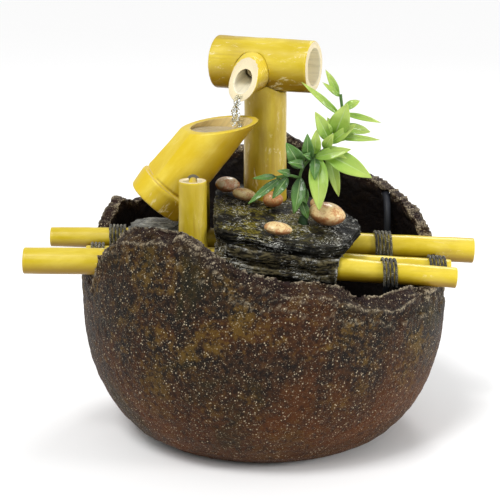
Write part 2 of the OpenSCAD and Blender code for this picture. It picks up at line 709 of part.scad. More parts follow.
leg_t = 5;
core_w = 14;
core_x = house_x + house_wall + 3;
core_end = house_x + pump_len - 6;
leg_z = well_r + well_wall + seat;
coil_side = 3;
module stator_core() {
    color("#9a9da0") pump_frame() difference() {
        union() {
            for (s = [-1, 1])
                translate([core_x, -core_w / 2, s > 0 ? leg_z - 1.2 : -leg_z - leg_t + 1.2])
                    cube([core_end - core_x, core_w, leg_t]);
            translate([core_end - leg_t, -core_w / 2, -leg_z - leg_t + 1.2])
                cube([leg_t, core_w, 2 * (leg_z + leg_t - 1.2)]);
        }
        along_x(0) cylinder(r = leg_z, h = house_x + well_depth + well_wall + seat);
    }
}
module stator_coil() {
    h = 2 * (leg_z - 1.2) - 2 * seat;
    color("#b5651d") pump_frame() difference() {
        translate([core_end - leg_t - coil_side, -core_w / 2 - 5, -h / 2])
            cube([leg_t + 2 * coil_side, core_w + 10, h]);
        translate([core_end - leg_t - seat, -core_w / 2 - seat, -h]) cube([leg_t + 2 * seat, core_w + 2 * seat, 2 * h]);
    }
}
lid_x = house_x + pump_len - 1.8;
gland_z = -6;
module housing_lid() {
    color("#30353a") pump_frame() difference() {
        rounded_block(lid_x, 1.8, pump_w - 2 * house_wall - 2 * seat, pump_h - 2 * house_wall - 2 * seat,
            house_round - house_wall);
        translate([0, 0, gland_z]) along_x(lid_x - cut) cylinder(d = cord_d + 3 + 2 * seat, h = 6);
    }
}
gland_len = 16;
gland_x = lid_x - 0.6;
module cable_gland() {
    color("#1c1e20") pump_frame() translate([0, 0, gland_z]) along_x(gland_x) difference() {
        rotate_extrude() polygon(concat(
            [[0, 0], [cord_d / 2 + 1.5, 0], [cord_d / 2 + 1.5, 2.8], [6, 2.8], [6, 5]],
            [for (i = [0 : 3]) each [[5.4 - i * 0.5, 5 + i * 2.6], [5.4 - i * 0.5, 6.4 + i * 2.6],
                [4.4 - i * 0.4, 6.6 + i * 2.6], [4.4 - i * 0.4, 7.4 + i * 2.6]]],
            [[3.1, gland_len], [0, gland_len]]
        ));
    }
}

rotor_len = 26;
module pump_rotor() {
    color("#5d6166") pump_frame() difference() {
        union() {
            along_x(house_x + 1) cylinder(d = magnet_d, h = rotor_len);
            along_x(-5) cylinder(r = 4, h = house_x + 7);
            along_x(5.5) cylinder(r = 12.5, h = 1.4);
            for (k = [0 : blades - 1]) rotate([k * 360 / blades, 0, 0])
                translate([-4.6, -0.7, 3]) cube([10.6, 1.4, 9]);
        }
        along_x(-10) cylinder(r = shaft_d / 2 + run, h = 60);
    }
}
bush_t = 3;
shaft_end = house_x + well_depth;
module rotor_shaft() {
    color("#e8e6df") pump_frame() along_x(-8.4) cylinder(d = shaft_d, h = shaft_end + 8.4 - 0.4);
}
module shaft_bush(x, r) {
    color("#202020") pump_frame() along_x(x) difference() {
        cylinder(r = r, h = bush_t - 0.4);
        translate([0, 0, -cut]) cylinder(r = shaft_d / 2 + run, h = bush_t + 2 * cut);
    }
}
module shaft_bush_inner() { shaft_bush(shaft_end - bush_t + 0.1, well_r - 0.2); }
module shaft_bush_outer() { shaft_bush(-chamber_w / 2 - 0.2, 3); }
module chamber_seal() {
    color("#101010") pump_frame() along_x(house_x - 1.1) rotate_extrude() translate([chamber_r - 2.2, 0]) circle(r = 0.7);
}
module chamber_cover() {
    inner_r = chamber_r - 3.6;
    color("#2c3136") pump_frame() difference() {
        union() {
            along_x(-chamber_w / 2 - 2) cylinder(r = chamber_r, h = chamber_w + 2);
            cylinder(r = hose_bore / 2 - 0.2, h = chamber_r + 18);
            cylinder(r = hose_bore / 2 + 2.4, h = chamber_r + 8);
        }
        along_x(-chamber_w / 2 + 2.6) cylinder(r = inner_r, h = chamber_w);
        along_x(chamber_w / 2 - 2.4) difference() {
            cylinder(r = chamber_r - 1.2, h = 6);
            cylinder(r = chamber_r - 3.2, h = 6);
        }
        along_x(-chamber_w / 2 - 4) difference() {
            cylinder(r = 8, h = 10);
            cylinder(r = 4.4, h = 10);
            for (k = [0 : 2]) rotate([0, 0, k * 120]) translate([0, -0.8, 0]) cube([12, 1.6, 10]);
        }
        along_x(-chamber_w / 2 - 0.4) cylinder(r = 3.1, h = 4);
        along_x(-chamber_w / 2 - 1.2) cylinder(r = shaft_d / 2 + run, h = 8);
        cylinder(r = hose_bore / 2 - 1.4, h = 60);
    }
}

// Intake cover with strainer slots, and the dial that closes them part way
cover_x0 = -chamber_w / 2 - 2 - 12;
module intake_cover() {
    color("#262b30") pump_frame() difference() {
        rounded_block(cover_x0, 12 - seat, pump_w - 2, pump_h - 2, house_round);
        rounded_block(cover_x0 + 2, 12, pump_w - 6, pump_h - 6, house_round - 2);
        for (i = [-2 : 2], s = [-1, 1])
            translate([cover_x0 - cut, i * 4.4 - 1.1, s > 0 ? 11.5 : -15.5]) cube([4, 2.2, 4]);
        for (i = [-3 : 3], s = [-1, 1])
            translate([cover_x0 + 4, s * (pump_w / 2 - 2) - 3, i * 4.4 - 1.1]) cube([5, 6, 2.2]);
        along_x(cover_x0 - cut) cylinder(r = 2.6 + run, h = 4);
        for (k = [0 : 2]) rotate([k * 90 - 90, 0, 0])
            translate([cover_x0 - cut, -2, 4.6]) cube([4, 4, 3]);
    }
}
module flow_dial() {
    color("#3b444c") pump_frame() difference() {
        union() {
            along_x(cover_x0 - 2.2) cylinder(d = dial_d, h = 2);
            along_x(cover_x0 - 1) cylinder(r = 2.6, h = 4);
            translate([cover_x0 - 6, -1.5, -dial_d / 2 + 1]) cube([5, 3, dial_d - 2]);
        }
        for (k = [0 : 1]) rotate([k * 90 - 90, 0, 0])
            translate([cover_x0 - 4, -1.9, 4.7]) cube([6, 3.8, 2.8]);
    }
}
module suction_cups() {
    cup_r = 6.5;
    color("#8fa0a8") for (x = [house_x + 9, house_x + pump_len - 9], s = [-1, 1])
        translate([pump_c[0] + x, pump_c[1] + s * (pump_w / 2 - 9), floor_z + seat])
            rotate_extrude() polygon([[0, 1.2], [cup_r - 1.2, 0], [cup_r, 0], [2.6, 2.2], [2.6, cup_h - seat], [0, cup_h - seat]]);
}

// Power lead. The stretch from the gland over the rim to the coil, in points chosen by hand
cord_start = pump_c + [gland_x + gland_len, 0, gland_z];
lead_x = 89;
lead_top = 149;
lead_bend = 4 * cord_d;
lead_in_y = 52;
lead_out_y = 96;
CORD_ROUTE = concat(
    [[78, 35, 34], [84, 36.5, 38], [87.5, 38.5, 44], [89, 41, 52], [89, 45.5, 68], [89, 49.5, 86], [lead_x, lead_in_y, 104],
     [lead_x, lead_in_y, 118]],
    [for (a = [0 : 15 : 90]) [
        lead_x, lead_in_y + lead_bend * (1 - cos(a)), lead_top - lead_bend * (1 - sin(a))]],
    [[lead_x, (lead_in_y + lead_bend + lead_out_y) / 2, lead_top]],
    [for (a = [0 : 15 : 90]) [
        lead_x, lead_out_y + lead_bend * sin(a), lead_top - lead_bend * (1 - cos(a))]],
    [[lead_x, lead_out_y + lead_bend, 112], [lead_x, 116.2, 94], [89.5, 117, 75], [91, 119, 56], [93.5, 123, 38],
     [96.5, 129, 24], [99.5, 137, 13], [102, 145, 6.5], [103.4, 151, 4.2]]
);
coil_mean = 27.5;
coil_step = cord_d + 0.5;
coil_c = [68, 165];
coil_low = 1.1 + cord_d / 2;
coil_out = coil_mean + (coil_turns - 1) * coil_step / 2 + coil_step / 2;
coil_in = coil_out - coil_turns * coil_step;
// Tail from the coil's end to the plug: distance towards the pot and height
COIL_END = [[5, 9.1], [10, 8.8], [15, 7.9], [20, 7], [25, 6.6], [30, 6.6]];
coil_start = [coil_c[0] + coil_out, coil_c[1] - cord_d, coil_low];

module power_cord() {
    path = concat([cord_start, cord_start + [cord_d, 0, 0]], CORD_ROUTE,
        [coil_start - [0, cord_d, 0], coil_start]);
    color("#2b2b2e") sweep(path, cord_d / 2, 8, [0, 0, 1]);
}

// Two layers: the lower spirals in, climbs in half a turn, and the upper spirals out
function coil_path() = let (n = RINGS_PER_TURN * coil_turns, half = RINGS_PER_TURN / 2) concat(
    [coil_start],
    [for (i = [0 : n]) let (a = i * 360 / RINGS_PER_TURN)
        concat(coil_c + lerp(coil_out, coil_in, i / n) * [cos(a), sin(a)], coil_low)],
    [for (i = [1 : half]) let (a = i * 180 / half, r = coil_in - coil_step / 4 * (1 - abs(a - 90) / 90))
        concat(coil_c + r * [cos(a), sin(a)], coil_low + coil_step * (1 - cos(a)) / 2)],
    [for (i = [1 : n]) let (a = 180 + i * 360 / RINGS_PER_TURN)
        concat(coil_c + lerp(coil_in, coil_out, i / n) * [cos(a), sin(a)], coil_low + coil_step)],
    [for (q = COIL_END) [coil_c[0] - coil_out, coil_c[1] - q[0], q[1]]]
);
module cord_coil() {
    path = coil_path();
    echo(coil_gap = self_gap(path, cord_d, RINGS_PER_TURN / 2));
    color("#2b2b2e") sweep(path, cord_d / 2, 6, [0, 0, 1]);
}
tie_w = 6;
tie_t = 0.8;
module cord_tie() {
    // Across the coil at its side towards the pot, where the turns lie between these radii
    near = coil_in + coil_step / 4 - cord_d / 2 - 0.8;
    far = coil_out - coil_step * 3 / 4 + cord_d / 2 + 0.8;
    color("#777a7d") translate([coil_c[0], coil_c[1] - (near + far) / 2, 0]) rotate([90, 0, 90])
        translate([0, 0, -tie_w / 2]) linear_extrude(tie_w) difference() {
            tie_ring(far - near + 2 * tie_t, coil_low + coil_step + cord_d / 2 + 0.3 + tie_t, 3);
            translate([0, tie_t]) tie_ring(far - near, coil_low + coil_step + cord_d / 2 + 0.3 - tie_t, 2.2);
        }
}
module tie_ring(w, h, r) {
    translate([-w / 2, 0]) {
        translate([0, r]) square([w, h - 2 * r]);
        translate([r, 0]) square([w - 2 * r, h]);
        for (x = [r, w - r], y = [r, h - r]) translate([x, y]) circle(r = r);
    }
}

// Plug at the end of the coil, lying behind the pot
plug_at = [coil_c[0] - coil_out, coil_c[1] - COIL_END[5][0], COIL_END[5][1]];
module plug_body() {
    color("#26272a") translate(plug_at) rotate([90, 0, 0]) {
        rotate_extrude() polygon([[0, 0], [3.4, 0], [4.6, 12], [0, 12]]);
        translate([0, 0, 12]) linear_extrude(16) {
            square([13, 12.6], center = true);
            for (s = [-1, 1]) translate([s * 6.5, 0]) circle(d = 12.6);
        }
    }
}
module plug_pins() {
    color("#c8b560") translate(plug_at) rotate([90, 0, 0])
        for (s = [-1, 1]) translate([s * 6.35 - 0.75, -3.175, 28]) cube([1.5, 6.35, 16]);
}

// Sprig: stems and pointed leaves
plant_base = [26, -20];
plant_z = slate_z(plant_base[0], plant_base[1]);
module plant_socket() { translate([plant_base[0], plant_base[1], plant_z - 5]) cylinder(r = 3.5, h = 30); }
module plant_foot() {
    color("#2f4a2a") translate([plant_base[0], plant_base[1], plant_z - 5 + seat])
        rotate_extrude() polygon([[0, 0], [3.1, 0], [3.1, 6.4], [2.2, 9.4], [0, 9.4]]);
}
STEM = [
    [26, -20, plant_z + 5], [24, -21, plant_z + 14], [23, -23, plant_z + 26], [25, -23, plant_z + 37],
    [31, -22, 194], [40, -21, 200], [46, -20, 208], [51, -19, 222], [50, -18, 236]
];
SIDE_STEM = [[22.6, -24.1, 181.3], [16, -30, 184], [8, -36, 184]];
stem_r = 1.2;
module plant_stems() {
    color("#3f5f33") {
        sweep(STEM, stem_r, 6, [1, 0, 0]);
        sweep(SIDE_STEM, stem_r * 0.8, 6, [0, 1, 0]);
    }
}

// A leaf from its base to its tip: a thin pointed shield with a folded midrib and a bent back
leaf_t = 0.7;
leaf_gap = 0.65;
module leaf(from, to, w, droop = 2) {
    rows = 6;
    d = to - from;
    side = unit(cross(d, [0, -1, 0.35]));
    up = unit(cross(side, d));
    function half_w(t) = w / 2 * pow(sin(180 * pow(t, 0.8)), 0.8);
    function mid(t) = from + d * t + up * droop * sin(180 * t);
    ring = [for (i = [1 : rows - 1]) let (t = i / rows, c = mid(t), h = half_w(t)) each [
        c - side * h + up * h * 0.25 + up * leaf_t / 2,
        c + up * leaf_t / 2,
        c + side * h + up * h * 0.25 + up * leaf_t / 2,
        c + side * h + up * h * 0.25 - up * leaf_t / 2,
        c - up * leaf_t / 2,
        c - side * h + up * h * 0.25 - up * leaf_t / 2
    ]];
    points = concat([from], ring, [to]);
    last = len(points) - 1;
    function at(i, k) = 1 + i * 6 + k % 6;
    polyhedron(points, concat(
        [for (k = [0 : 5]) [0, at(0, k), at(0, k + 1)]],
        [for (i = [0 : rows - 3], k = [0 : 5]) each [
            [at(i, k), at(i + 1, k), at(i + 1, k + 1)],
            [at(i, k), at(i + 1, k + 1), at(i, k + 1)]
        ]],
        [for (k = [0 : 5]) [last, at(rows - 2, k + 1), at(rows - 2, k)]]
    ));
}
// A leaf that starts beside a stem, at a step along the stem's points
module leaf_on(stem, step, tip, w) {
    k = min(floor(step), len(stem) - 2);
    spot = lerp(stem[k], stem[k + 1], step - k);
    grow = unit(stem[k + 1] - stem[k]);
    away = tip - spot;
    leaf(spot + unit(away - (away * grow) * grow) * (stem_r + leaf_gap), tip, w);
}
// Stem, step along it, tip and width of each leaf
LEAVES_LEFT = [
    [STEM, 3, [14, -30, 206], 11],
    [STEM, 3.7, [28, -30, 212], 8],
    [STEM, 2.5, [20, -34, 160], 9.5],
    [STEM, 3.3, [15, -36, 194], 6],
    [SIDE_STEM, 1, [8, -43, 190], 5],
    [SIDE_STEM, 2, [-8, -44, 185], 4],
    [SIDE_STEM, 1.7, [-11, -44, 168], 5.5],
    [SIDE_STEM, 1.1, [5, -38, 170], 7]
];
LEAVES_RIGHT = [
    [STEM, 4.8, [71, -28, 182], 13.5],
    [STEM, 6.1, [54, -30, 232], 13.5],
    [STEM, 5.6, [33, -27, 226], 9.5],
    [STEM, 7, [24, -24, 245], 4.5],
    [STEM, 7.9, [40, -16, 252], 5],
    [STEM, 7.3, [63, -14, 231], 5.5],
    [STEM, 7.1, [77, -18, 217], 4],
    [STEM, 6.5, [71, -9, 209], 7],
    [STEM, 6, [76, -26, 207], 4.5],
    [STEM, 5.7, [63, -8, 212], 8],
    [STEM, 4.2, [57, -27, 201], 8],
    [STEM, 4.4, [36, -34, 161], 13],
    [STEM, 5.1, [50, -15, 166], 8]
];
module leaves_left() { color("#7fb04c") for (q = LEAVES_LEFT) leaf_on(q[0], q[1], q[2], q[3]); }
module leaves_right() { color("#8fc25a") for (q = LEAVES_RIGHT) leaf_on(q[0], q[1], q[2], q[3]); }

bowl();
base_pad();
pole_front();
pole_back();
pole_middle();
lashing_front_right();
lashing_back_right();
lashing_back_left();
lashing_middle_left();
lashing_middle_right();
slate_lower();
slate_packer();
slate_top();
knock_stone();
pebbles();
pivot_post_front();
pivot_post_rear();
pivot_pin();
pivot_washers();
trough();
tail_plug();
tail_weight();
riser_tube();
head_tube();
spout_tube();
hose();
pump_housing();
stator_core();
stator_coil();
housing_lid();
pump_rotor();
rotor_shaft();
shaft_bush_inner();
shaft_bush_outer();
chamber_seal();
chamber_cover();
intake_cover();
flow_dial();
suction_cups();
cable_gland();
power_cord();
cord_coil();
cord_tie();
plug_body();
plug_pins();
plant_foot();
plant_stems();
leaves_left();
leaves_right();
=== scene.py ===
"""Looks of a tabletop bamboo fountain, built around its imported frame.

The pot, the slates, the stones, the rope, the sprig, the lead and the water are modelled here.
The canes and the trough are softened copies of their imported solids. The pump, the plug, the pad,
the pin and the trough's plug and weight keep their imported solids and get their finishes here.
"""

import logging
import math
from abc import ABC, abstractmethod
from dataclasses import dataclass, field
from enum import Enum
from typing import Callable

import bpy
import numpy as np
from mathutils import Matrix, Vector, noise


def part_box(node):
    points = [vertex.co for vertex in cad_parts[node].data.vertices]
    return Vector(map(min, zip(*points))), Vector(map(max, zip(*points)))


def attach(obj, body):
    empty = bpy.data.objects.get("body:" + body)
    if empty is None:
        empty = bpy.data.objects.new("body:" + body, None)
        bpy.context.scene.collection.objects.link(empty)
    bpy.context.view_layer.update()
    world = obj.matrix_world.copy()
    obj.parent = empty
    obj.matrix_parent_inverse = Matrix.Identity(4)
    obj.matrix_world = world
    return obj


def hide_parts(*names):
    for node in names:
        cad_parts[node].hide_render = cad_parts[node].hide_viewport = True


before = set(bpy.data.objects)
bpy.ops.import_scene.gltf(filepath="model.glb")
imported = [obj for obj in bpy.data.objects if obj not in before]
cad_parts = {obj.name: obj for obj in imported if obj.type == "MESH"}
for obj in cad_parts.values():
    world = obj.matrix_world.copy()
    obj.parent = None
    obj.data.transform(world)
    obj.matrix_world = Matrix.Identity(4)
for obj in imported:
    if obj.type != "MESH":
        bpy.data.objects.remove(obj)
log = logging.getLogger("fountain")

MM = 0.001
BODY = "fountain"
TROUGH_BODY = "tipping_trough"
Colour = tuple[float, float, float]
Point = tuple[float, float, float]


def rgb(red: int, green: int, blue: int) -> Colour:
    """Turn a colour on the 0 to 255 scale of a paint card into linear light."""
    def linear(part: int) -> float:
        share = part / 255
        return share / 12.92 if share <= 0.04045 else ((share + 0.055) / 1.055) ** 2.4
    return linear(red), linear(green), linear(blue)


def shaded(colour: Colour, factor: float) -> Colour:
    """Return a colour made darker or lighter by a factor."""
    return tuple(min(1.0, part * factor) for part in colour)


def operator(operation: str, swapped: bool = False) -> Callable[["Link", "Link | float"], "Link"]:
    """Return a method that adds a Math node for one operator.

    Args:
        operation: The Math node's operation.
        swapped: Whether the other value comes first.
    """
    def method(self: "Link", other: "Link | float") -> "Link":
        """Combine this value with another one or a number."""
        return self.maths(operation, *((other, self) if swapped else (self, other)))
    return method


class Link:
    """A shader value that takes part in Python expressions, each operator adding a Math node."""

    __add__ = operator("ADD")
    __radd__ = operator("ADD", swapped=True)
    __sub__ = operator("SUBTRACT")
    __rsub__ = operator("SUBTRACT", swapped=True)
    __mul__ = operator("MULTIPLY")
    __rmul__ = operator("MULTIPLY", swapped=True)
    __truediv__ = operator("DIVIDE")
    __pow__ = operator("POWER")
    larger = operator("MAXIMUM")

    def __init__(self, shader: "Shader", socket: bpy.types.NodeSocket) -> None:
        """Wrap a socket.

        Args:
            shader: The shader whose tree holds the socket.
            socket: The output socket that carries the value.
        """
        self.shader = shader
        self.socket = socket

    def maths(self, operation: str, *values: "Link | float") -> "Link":
        """Add a Math node and return its result."""
        return self.shader.node("ShaderNodeMath", {"operation": operation}, dict(enumerate(values)))

    def __abs__(self) -> "Link":
        """Drop the sign."""
        return self.maths("ABSOLUTE", self)

    def rise(self, low: float, high: float) -> "Link":
        """Go smoothly from 0 at low to 1 at high, or back down where low is above high.

        Args:
            low: The value at which the result is 0.
            high: The value at which the result is 1.

        Returns:
            The eased and clamped result.
        """
        settings = {"interpolation_type": "SMOOTHSTEP", "clamp": True}
        if low <= high:
            return self.shader.node("ShaderNodeMapRange", settings,
                                    {"Value": self, "From Min": low, "From Max": high})
        return 1 - self.rise(high, low)


class Shader:
    """One node material, with methods that add nodes and a Principled shader at its end."""

    def __init__(self, name: str, **plain: float | Colour) -> None:
        """Start a material.

        Args:
            name: The material's name.
            plain: Values for the Principled shader's sockets, underscores standing for spaces.
        """
        self.material = bpy.data.materials.new(name)
        self.material.use_nodes = True
        self.tree = self.material.node_tree
        self.surface = self.tree.nodes["Principled BSDF"]
        self.feed("Specular IOR Level", 0.25)
        for key, value in plain.items():
            self.feed(key.replace("_", " "), value)

    def _set(self, socket: bpy.types.NodeSocket, value: "Link | float | Colour") -> None:
        """Link or set one input socket."""
        if isinstance(value, Link):
            self.tree.links.new(value.socket, socket)
        elif isinstance(value, tuple) and len(socket.default_value) == 4:
            socket.default_value = (*value, 1.0)
        else:
            socket.default_value = value

    def node(self, kind: str, settings: dict, values: dict, out: int | str = 0) -> Link:
        """Add a node of any kind.

        Args:
            kind: The node's type.
            settings: Properties of the node, set before its sockets.
            values: Numbers, colours or links by the input's name or place.
            out: The output wanted, by name or place.

        Returns:
            The chosen output.
        """
        made = self.tree.nodes.new(kind)
        for key, value in settings.items():
            setattr(made, key, value)
        for key, value in values.items():
            self._set(made.inputs[key], value)
        return Link(self, made.outputs[out])

    def feed(self, socket: str, value: "Link | float | Colour") -> None:
        """Give the Principled shader's named input a value or a link."""
        self._set(self.surface.inputs[socket], value)

    def coords(self, turn: Matrix | None = None, origin: Point = (0, 0, 0),
               stretch: Point = (1, 1, 1), out: str = "Object") -> Link:
        """Return coordinates fixed to the piece, turned so that a pattern follows it.

        Args:
            turn: Rotation that carries the piece's own direction onto the pattern's.
            origin: Point of the piece that becomes the pattern's zero.
            stretch: Factors along the pattern's axes.
            out: Which output of Texture Coordinate to use.
        """
        turn = turn or Matrix.Identity(3)
        raw = self.node("ShaderNodeTexCoord", {}, {}, out)
        shift = -(turn @ Vector(origin)) if out == "Object" else Vector()
        turned = self.node("ShaderNodeMapping", {"vector_type": "POINT"},
                           {"Vector": raw, "Rotation": tuple(turn.to_euler()), "Location": tuple(shift)})
        return self.node("ShaderNodeVectorMath", {"operation": "MULTIPLY"}, {0: turned, 1: stretch})

    def axes(self, vector: Link) -> tuple[Link, Link, Link]:
        """Split a vector into its three numbers."""
        made = self.tree.nodes.new("ShaderNodeSeparateXYZ")
        self.tree.links.new(vector.socket, made.inputs[0])
        return tuple(Link(self, out) for out in made.outputs)

    def noise(self, vector: Link, scale: float, detail: float = 3, rough: float = 0.55,
              bend: float = 0) -> Link:
        """Return soft noise between 0 and 1."""
        return self.node("ShaderNodeTexNoise", {}, {"Vector": vector, "Scale": scale, "Detail": detail,
                                                    "Roughness": rough, "Distortion": bend})

    def cells(self, vector: Link, scale: float) -> Link:
        """Return the distance to the nearest of many scattered points."""
        return self.node("ShaderNodeTexVoronoi", {}, {"Vector": vector, "Scale": scale}, "Distance")

    def upward(self, low: float, high: float) -> Link:
        """Return 0 to 1 by how far the surface faces up, as rise does."""
        return self.axes(self.coords(out="Normal"))[2].rise(low, high)

    def attribute(self, name: str) -> Link:
        """Return a value stored on the piece's points."""
        return self.node("ShaderNodeAttribute", {"attribute_name": name}, {}, "Fac")

    def mix(self, factor: "Link | float", first: "Link | Colour", second: "Link | Colour",
            blend: str = "MIX") -> Link:
        """Mix two colours."""
        made = self.tree.nodes.new("ShaderNodeMix")
        made.data_type = "RGBA"
        made.blend_type = blend
        made.clamp_factor = True
        for place, value in ((0, factor), (6, first), (7, second)):
            self._set(made.inputs[place], value)
        return Link(self, made.outputs[2])

    def done(self, relief: Link, distance: float, colour: Link | None = None,
             rough: Link | None = None) -> bpy.types.Material:
        """Feed the last sockets.

        Args:
            relief: The bump's height, from 0 to 1.
            distance: The depth of that relief in millimetres.
            colour: The base colour, unless it is plain.
            rough: The roughness, unless it is plain.

        Returns:
            The finished material.
        """
        if colour:
            self.feed("Base Color", colour)
        if rough:
            self.feed("Roughness", rough)
        sizes = {"Height": relief, "Distance": distance * MM}
        self.feed("Normal", self.node("ShaderNodeBump", {}, sizes, "Normal"))
        return self.material


def axis_turn(direction: Vector) -> Matrix:
    """Return the rotation that lays a direction on +Z."""
    return direction.normalized().rotation_difference(Vector((0, 0, 1))).to_matrix()


@dataclass(frozen=True)
class Finish(ABC):
    """A named material of its own kind."""

    name: str

    @abstractmethod
    def material(self) -> bpy.types.Material:
        """Build the node material."""


@dataclass(frozen=True)
class CaneFinish(Finish):
    """Varnished bamboo: streaks along the cane, mottled stains, painted shade on the faces that look
    down, pale cut ends, and a pale bore whose default colour is lightened as painted light.
    """

    direction: Point
    origin: Point
    outside_r: float
    bore_r: float = 0.0
    skin: Colour = rgb(200, 174, 6)
    light: Colour = rgb(234, 212, 84)
    # Colour of the mottled stains, also used as painted shade on the undersides.
    stain_and_shade: Colour = rgb(132, 92, 0)
    cut: Colour = rgb(248, 232, 190)
    # Near-white default for the bore: the cane's pale inside, lightened as painted light where little
    # light reaches in.
    bore: Colour = rgb(250, 242, 216)
    scuff: Colour = rgb(246, 236, 190)
    stain_share: float = 0.5
    scuff_share: float = 0.4
    end_from: float = 0.75

    def material(self) -> bpy.types.Material:
        """Build the node material."""
        shader = Shader(self.name, Roughness=0.32, Coat_Weight=0.25, Coat_Roughness=0.2)
        turn = axis_turn(Vector(self.direction))
        place = shader.coords(turn, self.origin)
        streaks = shader.noise(shader.coords(turn, self.origin, (1, 1, 0.06)), 420, 4)
        blotch = shader.noise(shader.coords(turn, self.origin, (1, 1, 0.45)), 60, 5, 0.6, 0.6)
        broad = shader.noise(place, 18, 2)
        grains = shader.noise(place, 900, 2)
        colour = shader.mix(blotch.rise(0.35, 0.75) * 0.75 + streaks * 0.2, self.skin, self.light)
        stained = (broad * 0.6 + streaks * 0.25 + blotch * 0.25).rise(0.62 - 0.12 * self.stain_share, 0.8)
        colour = shader.mix(stained * 0.75, colour, self.stain_and_shade)
        # Painted shade: faces that look down are mixed toward the stain colour, darkest where they face
        # the floor.
        under = shader.upward(0.4, -0.75)
        colour = shader.mix(under * (0.65 + blotch * 0.4), colour, self.stain_and_shade)
        scuffs = shader.noise(shader.coords(turn, self.origin, (1, 1, 0.35)), 150, 6, 0.75, 1.6)
        scuff_low = 0.62 - 0.3 * self.scuff_share
        worn = scuffs.rise(0.56, 0.68) * broad.rise(scuff_low, scuff_low + 0.18)
        colour = shader.mix(worn * 0.75, colour, self.scuff)
        x, y, _ = shader.axes(place)
        radius = (x * x + y * y) ** 0.5
        facing = shader.axes(shader.coords(turn, out="Normal"))[2]
        end = abs(facing).rise(self.end_from, self.end_from + 0.12)
        fibres = shader.cells(place, 1300).rise(0.1, 0.5)
        ring = (radius / self.outside_r).rise(0.6, 1.0)
        cut = shader.mix(fibres * 0.35 + ring * 0.25, self.cut, shaded(self.cut, 0.62))
        if self.bore_r:
            inside = radius.rise(self.bore_r + 1.2 * MM, self.bore_r + 0.3 * MM)
            wall = shader.mix(streaks.rise(0.4, 0.75) * 0.6, self.bore, shaded(self.bore, 0.62))
            colour = shader.mix(inside, colour, wall)
        colour = shader.mix(end, colour, cut)
        relief = streaks * 0.5 + blotch * 0.8 + grains * 0.12 + fibres * end * 0.4
        return shader.done(relief, 0.35, colour, 0.26 + streaks * 0.14 + blotch * 0.12 + end * 0.3)


@dataclass(frozen=True)
class StonewareFinish(Finish):
    """Rough brown stoneware with sand, pale speckles, patches and a worn torn rim, with its inside
    painted near-black as painted shade.
    """

    ground: Colour = rgb(64, 42, 23)
    dark: Colour = rgb(15, 9, 6)
    red: Colour = rgb(82, 42, 6)
    ochre: Colour = rgb(104, 80, 24)
    green: Colour = rgb(38, 36, 12)
    rim: Colour = rgb(40, 25, 25)
    worn: Colour = rgb(214, 198, 166)
    # Near-black painted shade for the pot's inside walls and floor.
    inside: Colour = rgb(20, 15, 15)

    def material(self) -> bpy.types.Material:
        """Build the node material."""
        shader = Shader(self.name, Roughness=0.55, Specular_IOR_Level=0.14)
        place = shader.coords()
        broad = shader.noise(place, 14, 4, 0.6, 0.8)
        patch = shader.noise(place, 34, 5, 0.65)
        fine = shader.noise(place, 260, 4, 0.65)
        sand = shader.noise(place, 900, 3, 0.6)
        colour = shader.mix(fine.rise(0.38, 0.72), self.dark, self.ground)
        height = shader.axes(place)[2]
        low = height.rise(95 * MM, 12 * MM)
        colour = shader.mix(low * 0.6 + broad.rise(0.5, 0.64) * 0.4, colour, self.red)
        stains = (patch * 0.6 + fine * 0.4).rise(0.5, 0.64) * (1 - low * 0.8)
        colour = shader.mix(stains * 0.6, colour, self.ochre)
        colour = shader.mix(broad.rise(0.46, 0.34) * 0.55, colour, self.green)
        colour = shader.mix(fine.rise(0.5, 0.34) * 0.6, colour, self.dark)
        rim = shader.attribute("near_rim")
        colour = shader.mix(rim * 0.8, colour, self.rim)
        # The inside faces, which are painted near-black as shade below; the pale specks are kept off
        # them.
        outer = 1 - shader.attribute("inner_face_shade")
        mask = shader.noise(place, 60, 3).rise(0.34, 0.56)
        speck = shader.cells(place, 360).rise(0.22, 0.1) * mask
        dust = shader.noise(place, 1100, 2, 0.6).rise(0.63, 0.7)
        colour = shader.mix((speck * 0.7).larger(dust * 0.6) * outer, colour, self.worn)
        worn = shader.attribute("edge_wear") * sand.rise(0.35, 0.62)
        colour = shader.mix(worn * 0.6, colour, self.worn)
        # Painted shade: the inside walls and floor are mixed almost fully to near-black.
        colour = shader.mix((1 - outer) * 0.92, colour, self.inside)
        return shader.done(fine * 1.1 + sand * 0.6 + patch * 0.8, 1.6, colour, 0.42 + fine * 0.3)


